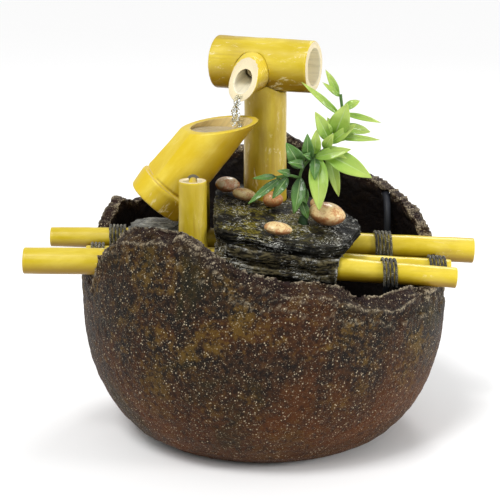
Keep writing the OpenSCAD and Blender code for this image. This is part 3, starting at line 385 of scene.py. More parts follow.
@dataclass(frozen=True)
class SlateFinish(Finish):
    """Layered slate: dark wet stone with olive moss on top, the moss tufts given painted light and shade,
    pale chipped edges that are also painted wet glints, and painted white glints on its faces.
    """

    stone: Colour = rgb(40, 37, 26)
    dark: Colour = rgb(6, 6, 4)
    moss: Colour = rgb(122, 112, 34)
    # Pale colour of the chips, also used for painted glints.
    chip_and_glint: Colour = rgb(236, 236, 226)
    moss_share: float = 0.6
    # Gloss of the wet coat, which also sets how many painted glints show.
    wet: float = 0.5
    moss_from: float = 60 * MM
    moss_to: float = -10 * MM

    def material(self) -> bpy.types.Material:
        """Build the node material."""
        shader = Shader(self.name, Coat_Roughness=0.08, Specular_IOR_Level=0.12)
        place = shader.coords()
        grain = shader.noise(shader.coords(stretch=(1, 1, 3)), 160, 6, 0.65, 0.7)
        broad = shader.noise(place, 38, 4, 0.6)
        fine = shader.noise(place, 520, 4, 0.6)
        colour = shader.mix(grain.rise(0.4, 0.66), self.dark, self.stone)
        moss_low = 0.78 - 0.3 * self.moss_share
        moss = shader.upward(0.35, 0.8) * (broad * 0.7 + grain * 0.5).rise(moss_low, moss_low + 0.14)
        moss = moss * shader.axes(place)[0].rise(self.moss_from, self.moss_to)
        # Painted light and shade on the moss: noise mixes a bright copy and a dark copy of the moss
        # colour, the dark one for shade in the gaps between tufts.
        tuft_light_and_shade = shader.mix(fine.rise(0.35, 0.65), shaded(self.moss, 0.2), shaded(self.moss, 1.5))
        colour = shader.mix(moss * 0.8, colour, tuft_light_and_shade)
        # Pale chips where edges stand out, which also paint in highlights: the wet glints along the
        # edges.
        chips_and_glints = shader.attribute("edge_wear") * fine.rise(0.42, 0.56) * broad.rise(0.36, 0.6)
        lines = shader.noise(shader.coords(stretch=(1, 1, 2.2)), 190, 4, 0.65, 3.5)
        # Painted highlights: white flecks scattered over the faces stand for wet glints.
        painted_glints = lines.rise(0.56, 0.6) * shader.noise(place, 75, 2).rise(0.44, 0.54)
        colour = shader.mix(chips_and_glints.larger(painted_glints * self.wet * 1.4) * 0.9, colour, self.chip_and_glint)
        shader.feed("Coat Weight", self.wet * grain.rise(0.5, 0.7) * 0.5)
        return shader.done(grain * 1.3 + fine * 0.5 + broad * 0.6, 1.9, colour,
                           0.3 + grain * 0.4 + moss * 0.2)


@dataclass(frozen=True)
class PebbleFinish(Finish):
    """A wet river pebble of one tone, with rusty clouds, fine veins and painted shade on its underside.
    """

    tone: Colour
    cloud: Colour = rgb(176, 96, 44)

    def material(self) -> bpy.types.Material:
        """Build the node material."""
        shader = Shader(self.name, Coat_Weight=0.45, Coat_Roughness=0.08)
        place = shader.coords()
        clouds = shader.noise(place, 110, 4, 0.6, 1.0)
        veins = shader.noise(place, 330, 5, 0.7, 1.5)
        colour = shader.mix((clouds * 0.4 + veins * 0.6).rise(0.46, 0.56) * 0.75, self.tone, self.cloud)
        colour = shader.mix(veins.rise(0.56, 0.7) * 0.5, colour, shaded(self.tone, 1.4))
        # Painted shade: faces that look down are darkened toward a dark copy of the cloud colour.
        under = shader.upward(0.1, -0.5)
        colour = shader.mix(under * 0.7, colour, shaded(self.cloud, 0.4))
        return shader.done(clouds + veins * 0.5, 0.5, colour, 0.25 + veins * 0.25)


@dataclass(frozen=True)
class RopeFinish(Finish):
    """Weathered hemp rope: dull fibres lightened as painted glints, painted shade in the dark hollows,
    and dark dirt.
    """

    # Pale fibre colour, lightened as painted glints.
    fibre_and_glint: Colour = rgb(186, 178, 144)
    # Near-black for painted shade in the hollows, also used for dirt.
    dirt_and_hollow_shade: Colour = rgb(20, 17, 12)

    def material(self) -> bpy.types.Material:
        """Build the node material."""
        shader = Shader(self.name, Roughness=0.5, Sheen_Weight=0.25)
        place = shader.coords()
        hairs = shader.noise(place, 1500, 4, 0.7, 0.5)
        dirt = shader.noise(place, 160, 3)
        # Pale fibres, lightened to paint in glints, mixed with near-black for painted shade in the
        # hollows between them.
        colour = shader.mix(hairs.rise(0.44, 0.66), self.dirt_and_hollow_shade, self.fibre_and_glint)
        colour = shader.mix(dirt.rise(0.4, 0.6) * 0.75, colour, self.dirt_and_hollow_shade)
        return shader.done(hairs, 0.3, colour)


@dataclass(frozen=True)
class LeafFinish(Finish):
    """A soft leaf with a pale midrib, side veins and a lighter tip, drawn on its own UV map."""

    blade: Colour
    tip: Colour
    rib: Colour = rgb(196, 222, 150)

    def material(self) -> bpy.types.Material:
        """Build the node material."""
        shader = Shader(self.name, Roughness=0.38, Subsurface_Weight=0.12, Coat_Weight=0.3,
                        Specular_IOR_Level=0.5)
        shader.feed("Subsurface Radius", (0.004, 0.006, 0.001))
        across, along, _ = shader.axes(shader.node("ShaderNodeTexCoord", {}, {}, "UV"))
        side = abs(across - 0.5)
        clouds = shader.noise(shader.coords(), 130, 3)
        wave = along * 26 - side * 26
        veins = abs(wave.maths("FRACT", wave) - 0.5).rise(0.12, 0.02)
        colour = shader.mix(along.rise(0.1, 0.95) * 0.6 + clouds * 0.4, self.blade, self.tip)
        colour = shader.mix(veins * 0.22, colour, self.rib)
        midrib = side.rise(0.045, 0.015)
        colour = shader.mix(midrib * 0.6, colour, self.rib)
        return shader.done(veins * 0.35 - midrib * 0.8 + clouds * 0.4, 0.35, colour, 0.3 + clouds * 0.2)


@dataclass(frozen=True)
class MouldedFinish(Finish):
    """Moulded plastic or rubber with a fine grain and faint scuffs."""

    colour: Colour
    rough: float = 0.5
    grain: float = 0.12

    def material(self) -> bpy.types.Material:
        """Build the node material."""
        shader = Shader(self.name)
        place = shader.coords()
        fine = shader.noise(place, 2600, 2)
        scuff = shader.noise(shader.coords(stretch=(1, 1, 4)), 180, 4, 0.7)
        colour = shader.mix(scuff.rise(0.52, 0.72) * 0.3, self.colour, shaded(self.colour, 1.9))
        return shader.done(fine * 0.6 + scuff * 0.4, self.grain, colour, self.rough + scuff * 0.2 - 0.08)


@dataclass(frozen=True)
class MetalFinish(Finish):
    """Turned or stamped metal with fine brushing and a little tarnish."""

    colour: Colour
    rough: float = 0.3

    def material(self) -> bpy.types.Material:
        """Build the node material."""
        shader = Shader(self.name, Metallic=1.0)
        brushed = shader.noise(shader.coords(stretch=(1, 14, 14)), 300, 3)
        tarnish = shader.noise(shader.coords(), 120, 4)
        colour = shader.mix(tarnish.rise(0.5, 0.75) * 0.5, self.colour, shaded(self.colour, 0.5))
        return shader.done(brushed, 0.05, colour, self.rough + brushed * 0.15 + tarnish * 0.1)


@dataclass(frozen=True)
class FeltFinish(Finish):
    """Pressed felt of the pad under the foot."""

    colour: Colour = rgb(44, 44, 44)

    def material(self) -> bpy.types.Material:
        """Build the node material."""
        shader = Shader(self.name, Roughness=0.95, Sheen_Weight=0.5)
        hairs = shader.noise(shader.coords(), 1400, 5, 0.75, 1.0)
        colour = shader.mix(hairs, shaded(self.colour, 0.6), shaded(self.colour, 1.6))
        return shader.done(hairs, 0.3, colour)


@dataclass(frozen=True)
class WaterFinish(Finish):
    """Clear water with fine ripples."""

    ripple_scale: float = 140
    tint: Colour = (0.93, 0.96, 0.95)
    clear: float = 1.0

    def material(self) -> bpy.types.Material:
        """Build the node material."""
        shader = Shader(self.name, Base_Color=self.tint, Roughness=0.03, IOR=1.33,
                        Transmission_Weight=self.clear)
        return shader.done(shader.noise(shader.coords(), self.ripple_scale, 3, 0.6, 1.0), 0.9)


class Row(Enum):
    """What is read at each point of a piece."""

    PLACE = "place"
    NORMAL = "normal"


class Bench:
    """Modelling steps that the sub-assemblies share, done with Blender's own operators."""

    @staticmethod
    def only(piece: bpy.types.Object) -> bpy.types.Object:
        """Select one piece alone and make it active."""
        bpy.ops.object.select_all(action="DESELECT")
        piece.select_set(True)
        bpy.context.view_layer.objects.active = piece
        return piece

    @staticmethod
    def named(name: str) -> bpy.types.Object:
        """Name the piece that was just added, and return it."""
        piece = bpy.context.active_object
        piece.name = name
        piece.data.name = name
        return piece

    @staticmethod
    def copied(node: str, name: str) -> bpy.types.Object:
        """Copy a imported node's mesh into a new piece, with its doubled points merged.

        Args:
            node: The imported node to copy.
            name: The new piece's name.
        """
        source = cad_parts[node]
        piece = bpy.data.objects.new(name, source.data.copy())
        piece.data.materials.clear()
        bpy.context.scene.collection.objects.link(piece)
        Bench.edited(piece, lambda: bpy.ops.mesh.remove_doubles(threshold=0.02 * MM))
        if piece.data.has_custom_normals:
            bpy.ops.mesh.customdata_custom_splitnormals_clear()
        return piece

    @staticmethod
    def remeshed(piece: bpy.types.Object, voxel: float) -> bpy.types.Object:
        """Rebuild a closed piece with even faces.

        Args:
            piece: The piece to rebuild.
            voxel: Face size in millimetres.
        """
        Bench.only(piece)
        piece.data.remesh_voxel_size = voxel * MM
        piece.data.remesh_voxel_adaptivity = 0
        bpy.ops.object.voxel_remesh()
        return piece

    @staticmethod
    def modified(piece: bpy.types.Object, kind: str, **settings: object) -> bpy.types.Object:
        """Add a modifier with the given settings and apply it."""
        Bench.only(piece)
        modifier = piece.modifiers.new(kind.lower(), kind)
        for key, value in settings.items():
            setattr(modifier, key, value)
        bpy.ops.object.modifier_apply(modifier=modifier.name)
        return piece

    @staticmethod
    def edited(piece: bpy.types.Object, *steps: Callable[[], object]) -> bpy.types.Object:
        """Run operators in edit mode on a whole piece."""
        Bench.only(piece)
        bpy.ops.object.mode_set(mode="EDIT")
        bpy.ops.mesh.select_all(action="SELECT")
        for step in steps:
            step()
        bpy.ops.object.mode_set(mode="OBJECT")
        return piece

    @staticmethod
    def points(piece: bpy.types.Object, row: Row = Row.PLACE) -> np.ndarray:
        """Return the piece's points, or their normals, as rows of three numbers."""
        rows = np.zeros(len(piece.data.vertices) * 3, np.float32)
        if row is Row.PLACE:
            piece.data.vertices.foreach_get("co", rows)
        else:
            piece.data.vertex_normals.foreach_get("vector", rows)
        return rows.reshape(-1, 3).astype(float)

    @staticmethod
    def moved(piece: bpy.types.Object, shape: Callable[[np.ndarray, np.ndarray], np.ndarray]
              ) -> bpy.types.Object:
        """Sculpt a piece by a rule.

        Args:
            piece: The piece to shape.
            shape: Takes the points and their normals and returns the new points.
        """
        points = shape(Bench.points(piece), Bench.points(piece, Row.NORMAL))
        piece.data.vertices.foreach_set("co", points.astype(np.float32).ravel())
        piece.data.update()
        return piece

    @staticmethod
    def marked(piece: bpy.types.Object, name: str, values: np.ndarray) -> None:
        """Store a value on each point of a piece for its material."""
        layer = piece.data.attributes.new(name, "FLOAT", "POINT")
        layer.data.foreach_set("value", np.clip(values, 0, 1).astype(np.float32))

    @staticmethod
    def edge_wear(piece: bpy.types.Object, rounds: int, low: float, high: float) -> None:
        """Mark the points that stand out from their neighbours, where a surface wears first.

        Args:
            piece: The piece to mark.
            rounds: How many rings of neighbours are averaged.
            low: Height above the neighbours, in millimetres, where wear starts.
            high: Height where wear is full.
        """
        edges = np.zeros(len(piece.data.edges) * 2, np.int64)
        piece.data.edges.foreach_get("vertices", edges)
        first, second = edges.reshape(-1, 2).T
        start = Bench.points(piece)
        counts = np.bincount(first, minlength=len(start)) + np.bincount(second, minlength=len(start))
        level = start.copy()
        for _ in range(rounds):
            total = np.zeros_like(level)
            for axis in range(3):
                total[:, axis] = (np.bincount(first, level[second, axis], len(start))
                                  + np.bincount(second, level[first, axis], len(start)))
            level = total / np.maximum(counts, 1)[:, None]
        height = ((start - level) * Bench.points(piece, Row.NORMAL)).sum(1) / MM
        Bench.marked(piece, "edge_wear", (height - low) / (high - low))

    @staticmethod
    def joined(pieces: list[bpy.types.Object], name: str) -> bpy.types.Object:
        """Join pieces into one."""
        bpy.ops.object.select_all(action="DESELECT")
        for piece in pieces:
            piece.select_set(True)
        bpy.context.view_layer.objects.active = pieces[0]
        bpy.ops.object.join()
        return Bench.named(name)

    @staticmethod
    def meshed(piece: bpy.types.Object) -> bpy.types.Object:
        """Turn a curve into a mesh, and return the piece."""
        Bench.only(piece)
        bpy.ops.object.convert(target="MESH")
        return bpy.context.active_object

    @staticmethod
    def tube(name: str, paths: list[list[Vector]], radius: float, sides: int = 3,
             radii: list[float] | None = None) -> bpy.types.Object:
        """Make a round tube along each path, as a curve with open ends filled.

        Args:
            name: The piece's name.
            paths: The points of each tube's centreline.
            radius: The tubes' radius in metres.
            sides: Blender's bevel resolution.
            radii: Factors on the radius, one for each point of a path.
        """
        curve = bpy.data.curves.new(name, "CURVE")
        curve.dimensions = "3D"
        curve.bevel_depth = radius
        curve.bevel_resolution = sides
        curve.use_fill_caps = True
        for path in paths:
            spline = curve.splines.new("POLY")
            spline.points.add(len(path) - 1)
            for index, point in enumerate(path):
                spline.points[index].co = (*point, 1)
                if radii:
                    spline.points[index].radius = radii[index]
            spline.use_smooth = True
        piece = bpy.data.objects.new(name, curve)
        bpy.context.scene.collection.objects.link(piece)
        return piece

    @staticmethod
    def finished(piece: bpy.types.Object, body: str, material: bpy.types.Material, slot: str,
                 stands_for: tuple[str, ...] = (), smooth: bool = True) -> bpy.types.Object:
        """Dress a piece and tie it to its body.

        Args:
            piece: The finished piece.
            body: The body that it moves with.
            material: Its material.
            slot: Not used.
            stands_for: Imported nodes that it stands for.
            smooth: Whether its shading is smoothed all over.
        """
        if smooth:
            Bench.only(piece)
            bpy.ops.object.shade_smooth()
        piece.data.materials.clear()
        piece.data.materials.append(material)
        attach(piece, body)
        if stands_for:
            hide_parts(*stands_for)
        log.info("%s rides on %s", piece.name, body)
        return piece


def middle_of(node: str) -> Vector:
    """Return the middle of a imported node's box."""
    low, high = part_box(node)
    return (low + high) / 2


def turbulence(points: np.ndarray, scale: Point, octaves: int = 3, seed: float = 0.0) -> np.ndarray:
    """Return layered noise between about -1 and 1 at each point.

    Args:
        points: Rows of three numbers in metres.
        scale: Waves per metre along each axis.
        octaves: Layers, each half as large and twice as fine as the one before.
        seed: Shift that picks another part of the noise.
    """
    total = np.zeros(len(points))
    for level in range(octaves):
        scaled = points * np.array(scale) * 2 ** level + seed + 7.3 * level
        total += np.array([noise.noise(Vector(row)) for row in scaled]) / 2 ** level
    return total


def smooth_path(points: list[Vector], pieces: int) -> list[Vector]:
    """Run a smooth curve through points.

    Args:
        points: The points that the curve passes through.
        pieces: How many steps lie between two of them.
    """
    ends = [points[0] * 2 - points[1], *points, points[-1] * 2 - points[-2]]
    path = []
    for index in range(1, len(ends) - 2):
        before, start, stop, after = ends[index - 1:index + 3]
        for step in range(pieces):
            t = step / pieces
            path.append(0.5 * (2 * start + (stop - before) * t
                               + (2 * before - 5 * start + 4 * stop - after) * t ** 2
                               + (3 * start - before - 3 * stop + after) * t ** 3))
    return [*path, points[-1]]


@dataclass
class Studio:
    """Camera, lamps, floor and world."""

    target: Point = (-0.0096, 0.0, 0.12507)
    distance: float = 1.1
    elevation: float = 15.0
    lens: float = 115.3
    sensor: float = 36.0
    floor_size: float = 6.0
    world_level: float = 0.57

    def camera(self) -> None:
        """Place the camera at the photograph's viewing angle."""
        rise = math.radians(self.elevation)
        away = Vector((0, -math.cos(rise), math.sin(rise))) * self.distance
        bpy.ops.object.camera_add(location=Vector(self.target) + away)
        camera = bpy.context.active_object
        camera.rotation_euler = (-away).to_track_quat("-Z", "Y").to_euler()
        camera.data.lens = self.lens
        camera.data.sensor_width = self.sensor
        bpy.context.scene.camera = camera

    def lamp(self, place: Point, size: float, power: float) -> None:
        """Add a soft square lamp that looks at the fountain."""
        bpy.ops.object.light_add(type="AREA", location=place)
        lamp = bpy.context.active_object
        lamp.data.size = size
        lamp.data.energy = power
        toward = Vector(self.target) - Vector(place)
        lamp.rotation_euler = toward.to_track_quat("-Z", "Y").to_euler()

    def sun(self, place: Point, spread: float, power: float) -> None:
        """Add an even, soft key light that comes from the direction of a place."""
        bpy.ops.object.light_add(type="SUN", location=place)
        sun = bpy.context.active_object
        sun.data.angle = math.radians(spread)
        sun.data.energy = power
        sun.rotation_euler = (-Vector(place)).to_track_quat("-Z", "Y").to_euler()

    def floor(self) -> None:
        """Lay a pale floor that shows white to the camera and keeps the shadow."""
        bpy.ops.mesh.primitive_plane_add(size=self.floor_size)
        floor = Bench.named("studio_floor")
        shader = Shader("studio_floor", Base_Color=(0.97, 0.97, 0.97), Roughness=0.9)
        floor.data.materials.append(shader.material)

    def world(self) -> None:
        """Give an even sky, white where the camera sees it straight or through water."""
        world = bpy.data.worlds.new("studio")
        world.use_nodes = True
        bpy.context.scene.world = world
        tree = world.node_tree
        path = tree.nodes.new("ShaderNodeLightPath")
        seen = tree.nodes.new("ShaderNodeMath")
        seen.operation = "MAXIMUM"
        tree.links.new(path.outputs["Is Camera Ray"], seen.inputs[0])
        tree.links.new(path.outputs["Is Transmission Ray"], seen.inputs[1])
        level = tree.nodes.new("ShaderNodeMapRange")
        level.inputs["To Min"].default_value = self.world_level
        level.inputs["To Max"].default_value = 1.0
        tree.links.new(seen.outputs[0], level.inputs["Value"])
        back = tree.nodes["Background"]
        back.inputs["Color"].default_value = (1, 1, 1, 1)
        tree.links.new(level.outputs["Result"], back.inputs["Strength"])

    def build(self) -> None:
        """Set up the whole studio."""
        self.camera()
        self.world()
        self.floor()
        self.sun((-0.55, -0.75, 1.5), spread=20, power=1.6)
        self.lamp((-0.5, -1.0, 0.9), size=0.35, power=2.5)
        self.lamp((0.3, 0.8, 1.0), size=0.35, power=4)
        self.lamp((1.0, -0.45, 0.4), size=0.3, power=5)
        bpy.context.scene.view_settings.view_transform = "Standard"


@dataclass
class Pot:
    """The torn-rimmed stoneware pot and its felt pad."""

    finish: StonewareFinish = StonewareFinish("stoneware")
    voxel: float = 1.9
    foot_z: float = 2 * MM
    fold_pitch: float = 9 * MM
    fold_depth: float = 26 * MM
    fold_relief: float = 1.9
    tear_depth: float = 1.3

    def rim_gap(self, points: np.ndarray) -> np.ndarray:
        """Return how far each point lies below the lip in its own direction, in metres."""
        turns = 180
        sector = ((np.arctan2(points[:, 1], points[:, 0]) / (2 * math.pi) * turns) % turns).astype(int)
        top = np.full(turns, -1.0)
        np.maximum.at(top, sector, points[:, 2])
        top = (np.roll(top, 1) + top + np.roll(top, -1)) / 3
        return top[sector] - points[:, 2]

    def sculpt(self, points: np.ndarray, normals: np.ndarray) -> np.ndarray:
        """Roughen the walls, most at the rim, and leave the foot flat."""
        coarse = turbulence(points, (38, 38, 38), 3)
        fine = turbulence(points, (170, 170, 170), 3, 20)
        gap = self.rim_gap(points)
        near = np.clip(1 - gap / (30 * MM), 0, 1)
        turn = np.arctan2(points[:, 1], points[:, 0])
        wraps = np.stack([np.cos(turn), np.sin(turn), gap / self.fold_pitch], axis=1)
        folds = 1 - 2 * np.abs(turbulence(wraps, (7, 7, 1), 3, 4))
        band = np.clip(1 - gap / self.fold_depth, 0, 1) ** 0.7
        relief = coarse * (0.45 + 0.5 * near) + fine * (0.35 - 0.2 * near) - 0.25
        relief += folds * band * self.fold_relief - band * 0.6
        ring = np.stack([np.cos(turn), np.sin(turn), np.zeros(len(turn))], axis=1)
        front = np.clip(0.55 - np.sin(turn - math.radians(25)), 0, 1)
        front *= np.clip((ring * normals).sum(1) * 3 - 0.6, 0, 1)
        for tear, (depth, wave) in enumerate(((6.5, 4.5), (17.5, 8))):
            edge = (depth + wave * turbulence(ring, (6, 6, 1), 4, 11 * tear)) * MM * front
            relief -= self.tear_depth * np.clip((edge - gap) / (0.7 * MM) + 0.5, 0, 1)
        relief *= np.clip((points[:, 2] - self.foot_z) / (6 * MM), 0, 1)
        return points + normals * relief[:, None] * MM

    def build(self) -> None:
        """Model and dress the pot."""
        pot = Bench.remeshed(Bench.copied("bowl", "pot_body"), self.voxel)
        Bench.modified(pot, "SMOOTH", factor=0.5, iterations=3)
        Bench.moved(pot, self.sculpt)
        points = Bench.points(pot)
        normals = Bench.points(pot, Row.NORMAL)
        gap = self.rim_gap(points)
        radius = np.hypot(points[:, 0], points[:, 1])
        Bench.edge_wear(pot, rounds=5, low=0.45, high=1.2)
        Bench.marked(pot, "near_rim", 1 - gap / (14 * MM))
        inward = -(points[:, :2] * normals[:, :2]).sum(1) / np.maximum(radius, 1e-6)
        floor = (points[:, 2] > 8 * MM) & (radius < 95 * MM) & (normals[:, 2] > 0.3)
        inner = np.clip(np.maximum(inward * 3, floor.astype(float)), 0, 1)
        # Marks the inside walls and floor, which the material darkens as painted shade.
        Bench.marked(pot, "inner_face_shade", inner * np.clip(gap / (4 * MM) - 1, 0, 1))
        Bench.finished(pot, BODY, self.finish.material(), "bowl", ("bowl",))
        dress("base_pad", FeltFinish("felt").material())


def dress(node: str, material: bpy.types.Material) -> None:
    """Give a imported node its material."""
    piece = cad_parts[node]
    piece.data.materials.clear()
    piece.data.materials.append(material)
    log.info("%s keeps its packed solid", node)


@dataclass
class Canes:
    """The poles, the pivot posts, the riser, the cross cane, the spout and the trough."""

    head_yaw: float = math.radians(-22)
    spout_fall: float = math.radians(13)
    spout_side: float = -3.5 * MM
    trough_rest: float = math.radians(50)
    pivot: Point = (-0.047, -0.012, 0.181)
    pin_along: float = 32 * MM
    pin_under: float = 7.8 * MM
    pin_hole_r: float = 2.75 * MM

    def trough_axis(self) -> tuple[Vector, Vector]:
        """Return a point on the trough's axis and the axis, from the tail to the mouth."""
        along = Vector((math.cos(self.trough_rest), 0, math.sin(self.trough_rest)))
        under = Vector((along.z, 0, -along.x))
        return Vector(self.pivot) - under * self.pin_under - along * self.pin_along, along

    def softened(self, node: str, voxel: float, seed: float, swell: float) -> bpy.types.Object:
        """Copy a packed cane and give it rounded lips and a slightly uneven skin.

        Args:
            node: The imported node.
            voxel: Face size in millimetres.
            seed: Which part of the noise to use.
            swell: Millimetres that the skin grows by, which closes a seam.
        """
        piece = Bench.remeshed(Bench.copied(node, f"{node}_cane"), voxel)
        Bench.modified(piece, "SMOOTH", factor=0.5, iterations=6)

        def uneven(points: np.ndarray, normals: np.ndarray) -> np.ndarray:
            """Move the skin a little, more in some places than in others."""
            relief = turbulence(points, (55, 55, 55), 2, seed) * 0.22 + swell
            return points + normals * relief[:, None] * MM
        return Bench.moved(piece, uneven)

    def cane(self, node: str, direction: Vector, origin: Vector, outside: float, voxel: float = 0.7,
             body: str = BODY, swell: float = -0.12, **looks: object) -> bpy.types.Object:
        """Model and dress one cane.

        Args:
            node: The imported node.
            direction: The cane's axis.
            origin: A point on the axis.
            outside: The outside radius in millimetres.
            voxel: Face size in millimetres.
            body: The body that it moves with.
            swell: Millimetres that the skin grows by.
            looks: Other fields of the finish.
        """
        finish = CaneFinish(f"cane_{node}", tuple(direction), tuple(origin), outside * MM, **looks)
        piece = self.softened(node, voxel, outside + origin.x, swell)
        return Bench.finished(piece, body, finish.material(), node, (node,))

    def drilled(self, piece: bpy.types.Object) -> None:
        """Drill the pin's hole clean through the trough."""
        bpy.ops.mesh.primitive_cylinder_add(vertices=64, radius=self.pin_hole_r, depth=0.08,
                                            location=self.pivot, rotation=(math.pi / 2, 0, 0))
        drill = bpy.context.active_object
        Bench.modified(piece, "BOOLEAN", object=drill, operation="DIFFERENCE", solver="EXACT")
        bpy.data.objects.remove(drill)

    def build(self) -> None:
        """Dress every cane."""
        along_x, upright = Vector((1, 0, 0)), Vector((0, 0, 1))
        self.cane("pole_front", along_x, middle_of("pole_front"), 9, 0.8)
        self.cane("pole_back", along_x, middle_of("pole_back"), 9, 0.8)
        self.cane("pole_middle", along_x, middle_of("pole_middle"), 6.5)
        for node in ("pivot_post_front", "pivot_post_rear"):
            self.cane(node, upright, middle_of(node), 9.25, 0.5, bore_r=6.25 * MM, stain_share=0.2)
        self.cane("riser_tube", upright, middle_of("riser_tube"), 14.75, bore_r=10.75 * MM,
                  skin=rgb(186, 156, 16), scuff_share=0.8)
        head = Vector((math.cos(self.head_yaw), math.sin(self.head_yaw), 0))
        centre = middle_of("head_tube")
        self.cane("head_tube", head, centre, 18, bore_r=12.5 * MM, scuff_share=0.9)
        forward = Vector((math.sin(self.head_yaw), -math.cos(self.head_yaw), 0))
        spout = forward * math.cos(self.spout_fall) - upright * math.sin(self.spout_fall)
        self.cane("spout_tube", spout, centre + head * self.spout_side, 10, 0.35, swell=0.16,
                  bore_r=6.25 * MM, stain_share=0.1, skin=rgb(214, 186, 46), scuff_share=1.0,
                  end_from=0.5)
        start, along = self.trough_axis()
        trough = self.cane("trough", along, start, 20.5, 0.6, TROUGH_BODY, bore_r=14 * MM,
                           stain_share=0.2, skin=rgb(214, 182, 0), bore=rgb(214, 188, 124),
                           cut=rgb(236, 206, 104), end_from=0.66)
        self.drilled(trough)
        dress("tail_plug", CaneFinish("cane_plug", tuple(along), tuple(start), 15 * MM).material())
        dress("tail_weight", MetalFinish("weight_steel", rgb(150, 154, 158)).material())
        dark = rgb(58, 44, 30)
        pin = CaneFinish("cane_pin", (0, 1, 0), self.pivot, 2.5 * MM, skin=dark,
                         light=shaded(dark, 1.6), stain_and_shade=shaded(dark, 0.5), cut=shaded(dark, 2))
        dress("pivot_pin", pin.material())
        dress("pivot_washers", MouldedFinish("washer_fibre", rgb(109, 106, 96), 0.6).material())


@dataclass
class Lashing:
    """A rope wound round a pole, of twisted strands."""

    node: str
    turns: int
    rope: float = 1.0 * MM
    strand_share: float = 0.52
    strands: int = 3
    steps: int = 30
    twist: float = 3.2

    def build(self, material: bpy.types.Material) -> None:
        """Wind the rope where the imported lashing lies."""
        low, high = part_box(self.node)
        middle = (low + high) / 2
        radius = (high.y - low.y) / 2 - self.rope
        start, stop = low.x + self.rope, high.x - self.rope
        lean = (high.z - low.z) / 2 - radius - self.rope
        paths = []
        for strand in range(self.strands):
            path = []
            for step in range(self.turns * self.steps + 1):
                share = step / (self.turns * self.steps)
                angle = 2 * math.pi * step / self.steps
                out = Vector((0, math.cos(angle), math.sin(angle)))
                core = Vector((start + (stop - start) * share, middle.y, middle.z)) + out * radius
                core.z -= lean * (2 * share - 1)
                roll = 2 * math.pi * strand / self.strands + self.twist * angle
                offset = out * math.cos(roll) + Vector((1, 0, 0)) * math.sin(roll)
                path.append(core + offset * self.rope * self.strand_share)
            paths.append(path)
        rope = Bench.tube(f"{self.node}_rope", paths, self.rope * self.strand_share, 2)
        rope = Bench.meshed(rope)
        Bench.finished(rope, BODY, material, self.node, (self.node,))


@dataclass
class Lashings:
    """All five lashings."""

    turns: dict[str, int] = field(default_factory=lambda: {
        "lashing_front_right": 4, "lashing_back_right": 5, "lashing_back_left": 5,
        "lashing_middle_left": 4, "lashing_middle_right": 5})

    def build(self) -> None:
        """Wind and dress every lashing."""
        material = RopeFinish("hemp").material()
        for node, turns in self.turns.items():
            Lashing(node, turns).build(material)


@dataclass(frozen=True)
class Slab:
    """How one slate or stone is worn, with lengths in millimetres.

    Attributes:
        node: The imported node.
        voxel: Face size.
        depth: How deep the sides are worn.
        layer: Thickness of a layer.
        seed: Which part of the noise to use.
        finish: Its finish.
        front: What the front side grows by.
        covered: The span along a pole, and the thickness, of a sleeve that hides the pole.
    """

    node: str
    voxel: float
    depth: float
    layer: float
    seed: float
    finish: SlateFinish
    front: float = 0.0
    covered: tuple[str, float, float, float] | None = None


